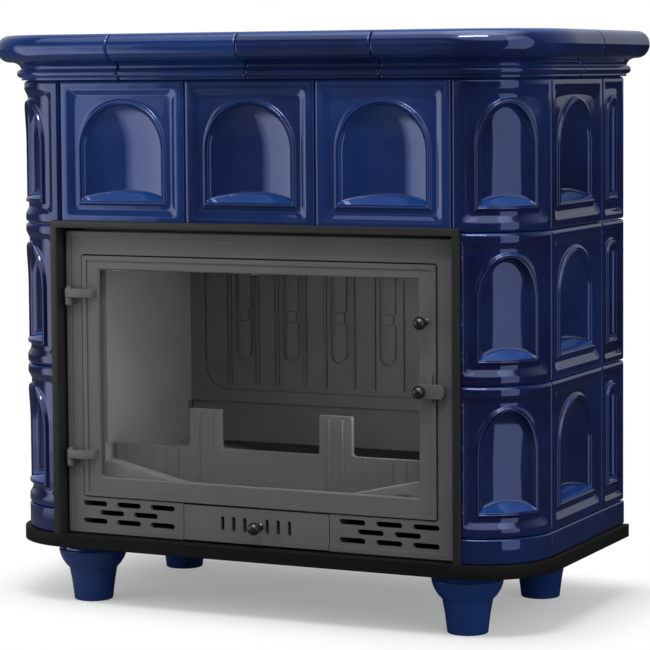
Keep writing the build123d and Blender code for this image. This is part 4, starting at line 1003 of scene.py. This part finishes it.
class STOVE_OT_insert(bpy.types.Operator):
    """Finishes the cast insert: frame, front, door, drawer and firebox"""

    bl_idname = "stove.insert"
    bl_label = "Fire insert"

    def execute(self, context):
        iron = context.scene.stove_iron
        paint = stove_paint("stove_paint", tuple(iron.paint), 0.42)
        angle = stove_paint("frame_paint", tuple(iron.frame), 0.5)
        black = stove_paint("black_paint", grey(0.005), 0.6, 0.12)
        sheet = stove_paint("sheet_paint", grey(0.016), 0.5)
        bare = bare_iron("bare_iron", tuple(iron.bare))
        dark = bare_iron("retainer_iron", darker(iron.bare, 0.55))
        # The back liner gets painted shade on the flanks of its ribs and grooves.
        liner = bare_iron("liner_iron", darker(iron.bare, 0.47), shaded_flanks=True)
        for node, surface, slot, body in (
            ("insert_surround", angle, "surround_paint", "stove"),
            ("fascia", paint, "fascia_paint", "stove"),
            ("door_frame", paint, "fascia_paint", "door"),
            ("ash_drawer_front", paint, "fascia_paint", "ash_drawer"),
            ("base_plate", black, "black_steel", "stove"),
            ("hearth_plate", bare, "firebox_iron", "stove"),
            ("log_retainer", dark, "retainer_iron", "stove"),
            ("back_liner", liner, "firebox_iron", "stove"),
            ("hinge_arms", paint, "hinge_iron", "door"),
            ("latch_lever", paint, "hinge_iron", "latch"),
        ):
            bevelled(node, surface, slot, body, iron.bevel)
        dress(bare, "side_liner_left", "side_liner_right", "baffle", "grate")
        dress(sheet, "top_plate", "back_panel", "flue_collar", "firebox_shell")
        dress(paint, "hinge_pins", "shell_front")
        dress(black_resin(), "air_slider", "pull_knob", "latch_knob")
        dress(plain_steel("clip_steel", grey(0.4), 0.3), "glass_clips")
        dress(plain_steel("pan_steel", grey(0.35), 0.35), "ash_pan")
        dress(clear_glass(), "door_glass")
        self.seal()
        self.heads()
        return {"FINISHED"}

    @staticmethod
    def seal():
        """The rope seal behind the door's rim."""
        low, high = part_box("door_seal")
        middle = (low + high) / 2
        inset, corner, steps = 0.0025, 0.006, 24
        loop = rounded_rectangle(
            low.x + inset, high.x - inset, low.z + inset, high.z - inset, corner, steps
        )
        vertices = [(x, middle.y, z) for x, z in loop]
        rope = seal_rope()
        mesh = twisted_rope().grow("door_seal_rope", vertices, loop_edges(vertices), rope, {})
        declare("door_seal_rope", closed(mesh), "door", rope, "seal_rope", ["door_seal"])

    @staticmethod
    def heads():
        """The pins under the crown's joints and the screws of the glass clips."""
        recipe = fasteners()
        out, up = 0.0108, 0.0065
        columns = (-TILE_PITCH, 0.0, TILE_PITCH)
        pins = [(x, FRONT_Y - out, CROWN_LOW.z + up) for x in columns]
        low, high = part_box("glass_clips")
        edge, apart = 0.004, 0.24
        rows = (low.z + edge, high.z - edge)
        screws = [(x, high.y, z) for z in rows for x in (-apart, 0.0, apart)]
        for name, body, places, facing, radius, height, steel in (
            ("crown_pins", "stove", pins, -1.0, 0.0024, 0.0012, ("pin_steel", grey(0.10), 0.35)),
            ("clip_screws", "door", screws, 1.0, 0.0028, 0.0018, ("screw_steel", grey(0.45), 0.3)),
        ):
            surface = plain_steel(*steel)
            sizes = {"Head Radius": radius, "Head Height": height, "Facing": (0.0, facing, 0.0)}
            mesh = closed(recipe.grow(name, places, [], surface, sizes))
            declare(name, mesh, body, surface, "clip_steel")


# ------------------------ studio
def area_light(name, place, aim, width, height, power, shade=(1, 1, 1)):
    """A soft panel of light at a place, turned towards a point."""
    lamp = bpy.data.lights.new(name, "AREA")
    lamp.shape = "RECTANGLE"
    lamp.size, lamp.size_y = width, height
    lamp.energy = power
    lamp.color = shade
    holder = stand(name, lamp)
    turn = (Vector(aim) - Vector(place)).to_track_quat("-Z", "Y").to_matrix().to_4x4()
    holder.matrix_world = Matrix.Translation(place) @ turn
    holder.visible_camera = False
    return holder


def studio_floor():
    """Pale paper that keeps the stove's shadow and fades to white away from it."""

    def make(b):
        seen = b.node("ShaderNodeLightPath", output="Is Camera Ray")
        place = b.node("ShaderNodeSeparateXYZ", {}, {"Vector": b.coordinates()}, "X")
        middle_y, half_depth = 0.02, 0.22
        beside = (b.math("ABSOLUTE", place) - SIDE_X).most(0.0)
        before = (b.math("ABSOLUTE", place.out("Y") - middle_y) - half_depth).most(0.0)
        away = b.math("SQRT", beside * beside + before * before)
        white = b.node("ShaderNodeEmission", {}, {"Color": grey(1.0)})
        plain = {"Roughness": 0.9, "Specular IOR Level": 0.0}
        lit = b.principled({"Base Color": grey(0.95), **plain})
        leftwards = place.spread(0.4, -0.6)
        far = b.mix(leftwards, grey(0.05), grey(0.2))
        shade = b.mix(seen.out("Is Glossy Ray"), grey(0.35), far)
        dull = b.principled({"Base Color": shade, **plain})
        fade = away.spread(0.0, 0.15) * 0.7 + 0.3
        shown = b.node("ShaderNodeMixShader", {}, {0: fade, 1: lit, 2: white})
        b.surface(b.node("ShaderNodeMixShader", {}, {0: seen, 1: dull, 2: shown}))

    return material("studio_floor", make)


# Soft panels that only the glaze and the paint mirror: azimuth from the front towards the
# right and height in degrees, where the panel is full and where it ends, and its strength.
MIRRORED = (
    (-27.0, 3.0, 16.0, 24.0, 0.20),
    (35.0, 50.0, 16.0, 40.0, 1.6),
    (0.0, 90.0, 12.0, 32.0, 2.5),
)


def studio_world(world):
    """White to the camera, dim to everything else, with soft panels for the glaze to mirror."""
    b = Build(world)
    path = b.node("ShaderNodeLightPath", output="Is Camera Ray")
    glossy, clear = path.out("Is Glossy Ray"), path.out("Is Transmission Ray")
    ambient = 0.30
    ray = b.node("ShaderNodeTexCoord", output="Generated")
    behind = b.node("ShaderNodeSeparateXYZ", {}, {"Vector": ray}, "Y").spread(-0.2, 0.9)
    mirrored = behind * 0.5 + 0.03
    for azimuth, height, full, end, strength in MIRRORED:
        turn, lift = math.radians(azimuth), math.radians(height)
        level = math.cos(lift)
        towards = (math.sin(turn) * level, -math.cos(turn) * level, math.sin(lift))
        sockets = {0: ray, 1: towards}
        near = b.node("ShaderNodeVectorMath", {"operation": "DOT_PRODUCT"}, sockets, "Value")
        lobe = near.spread(math.cos(math.radians(end)), math.cos(math.radians(full)))
        mirrored = mirrored + lobe * strength
    dim = glossy * (mirrored - ambient) + ambient
    strength = (path + clear).least(1.0) * (1 - dim) + dim
    glow = b.node("ShaderNodeBackground", {}, {"Color": grey(1.0), "Strength": strength})
    b.node("ShaderNodeOutputWorld", {}, {"Surface": glow})


# Lamps: name, place, aim, width, height and power. The glaze mirrors those of the first list,
# which also have a colour.
MIRRORED_LAMPS = (
    ("strip", (0.67, -1.67, 3.0), (0.0, 0.0, 0.9), 1.2, 0.4, 38, (1, 1, 1)),
    ("right_card", (1.24, -0.51, 0.85), (0.41, -0.16, 0.85), 0.5, 1.7, 3.3, (0.82, 0.9, 1.0)),
    ("overhead", (-0.3, -0.9, 2.9), (0.0, -0.3, 0.0), 3.0, 2.5, 24, (1, 1, 1)),
)
PLAIN_LAMPS = (
    ("left", (-1.9, -1.6, 1.4), (0.0, 0.0, 0.5), 1.4, 1.6, 9),
    ("fill", (2.3, -1.9, 1.4), (0.0, 0.0, 0.5), 1.4, 1.6, 12),
    ("right", (2.6, -0.5, 1.0), (0.0, 0.0, 0.5), 1.4, 1.6, 14),
    ("inside", (0.24, -0.14, 0.42), (-0.27, 0.02, 0.36), 0.05, 0.2, 0.6),
)


class STOVE_OT_stage(bpy.types.Operator):
    """Lays the floor, hangs the lights and sets up the camera"""

    bl_idname = "stove.stage"
    bl_label = "Studio"

    def execute(self, context):
        scene = context.scene
        mesh = bpy.data.meshes.new("floor")
        reach = 60.0
        corners = [(-reach, -reach, 0), (reach, -reach, 0), (reach, reach, 0), (-reach, reach, 0)]
        mesh.from_pydata(corners, [], [(0, 1, 2, 3)])
        stand("floor", mesh)
        mesh.materials.append(studio_floor())
        scene.world = bpy.data.worlds.new("studio")
        studio_world(scene.world)
        # A card on the left, brighter towards its middle: four panels, one before the other.
        card, step = Vector((-1.01, -0.73, 0.57)), Vector((0.69, 0.74, 0.0)) * 0.01
        aim, glow = (-0.32, 0.01, 0.57), 0.45
        for i in range(4):
            width, height = 1.0 - 0.12 * i, 1.15 - 0.12 * i
            power = glow * math.pi * width * height
            area_light(f"left_card_{i + 1}", card + step * i, aim, width, height, power)
        for name, place, aim, width, height, power, shade in MIRRORED_LAMPS:
            area_light(name, place, aim, width, height, power, shade)
        for name, place, aim, width, height, power in PLAIN_LAMPS:
            area_light(name, place, aim, width, height, power).visible_glossy = False
        self.camera(scene)
        scene.view_settings.view_transform = "Standard"
        return {"FINISHED"}

    @staticmethod
    def camera(scene):
        """The camera of the photo, solved from the tile joints."""
        camera = bpy.data.cameras.new("camera")
        holder = stand("camera", camera)
        scene.camera = holder
        place = (1.8074, -3.6834, 0.8251)
        yaw, tilt, roll = math.radians(25.73), math.radians(4.04), math.radians(-0.42)
        level = math.cos(tilt)
        forward = Vector((-math.sin(yaw) * level, math.cos(yaw) * level, -math.sin(tilt)))
        flat = Vector((math.cos(yaw), math.sin(yaw), 0.0))
        upright = flat.cross(forward)
        right = flat * math.cos(roll) + upright * math.sin(roll)
        up = upright * math.cos(roll) - flat * math.sin(roll)
        turn = Matrix((right, up, -forward)).transposed().to_4x4()
        holder.matrix_world = Matrix.Translation(place) @ turn
        # The photo's focal length and width in pixels, turned into a lens for a 36 mm sensor.
        focal, picture_width, sensor = 2641.5, 650, 36.0
        camera.sensor_width = sensor
        camera.lens = focal / picture_width * sensor
        camera.shift_y = -0.1
        camera.clip_end = 100.0


# ------------------------ add-on
class STOVE_PT_panel(bpy.types.Panel):
    """Lists the stove's settings and the steps that build it"""

    bl_label = "Tiled stove"
    bl_idname = "STOVE_PT_panel"
    bl_space_type = "VIEW_3D"
    bl_region_type = "UI"
    bl_category = "Stove"

    def draw(self, context):
        for key in GROUPS:
            group = getattr(context.scene, key)
            column = self.layout.column(align=True)
            for name in group.__annotations__:
                column.prop(group, name)
        for step in OPERATORS:
            self.layout.operator(step.bl_idname)


OPERATORS = (STOVE_OT_tiles, STOVE_OT_crown, STOVE_OT_feet, STOVE_OT_insert, STOVE_OT_stage)
GROUPS = {"stove_glaze": GlazeSettings, "stove_relief": ReliefSettings, "stove_iron": IronSettings}


def register():
    for key, group in GROUPS.items():
        bpy.utils.register_class(group)
        setattr(bpy.types.Scene, key, bpy.props.PointerProperty(type=group))
    for step in OPERATORS:
        bpy.utils.register_class(step)
    bpy.utils.register_class(STOVE_PT_panel)


def unregister():
    bpy.utils.unregister_class(STOVE_PT_panel)
    for step in reversed(OPERATORS):
        bpy.utils.unregister_class(step)
    for key, group in GROUPS.items():
        delattr(bpy.types.Scene, key)
        bpy.utils.unregister_class(group)


def main():
    register()
    bpy.ops.stove.tiles()
    bpy.ops.stove.crown()
    bpy.ops.stove.feet()
    bpy.ops.stove.insert()
    bpy.ops.stove.stage()


if __name__ == "__main__":
    main()
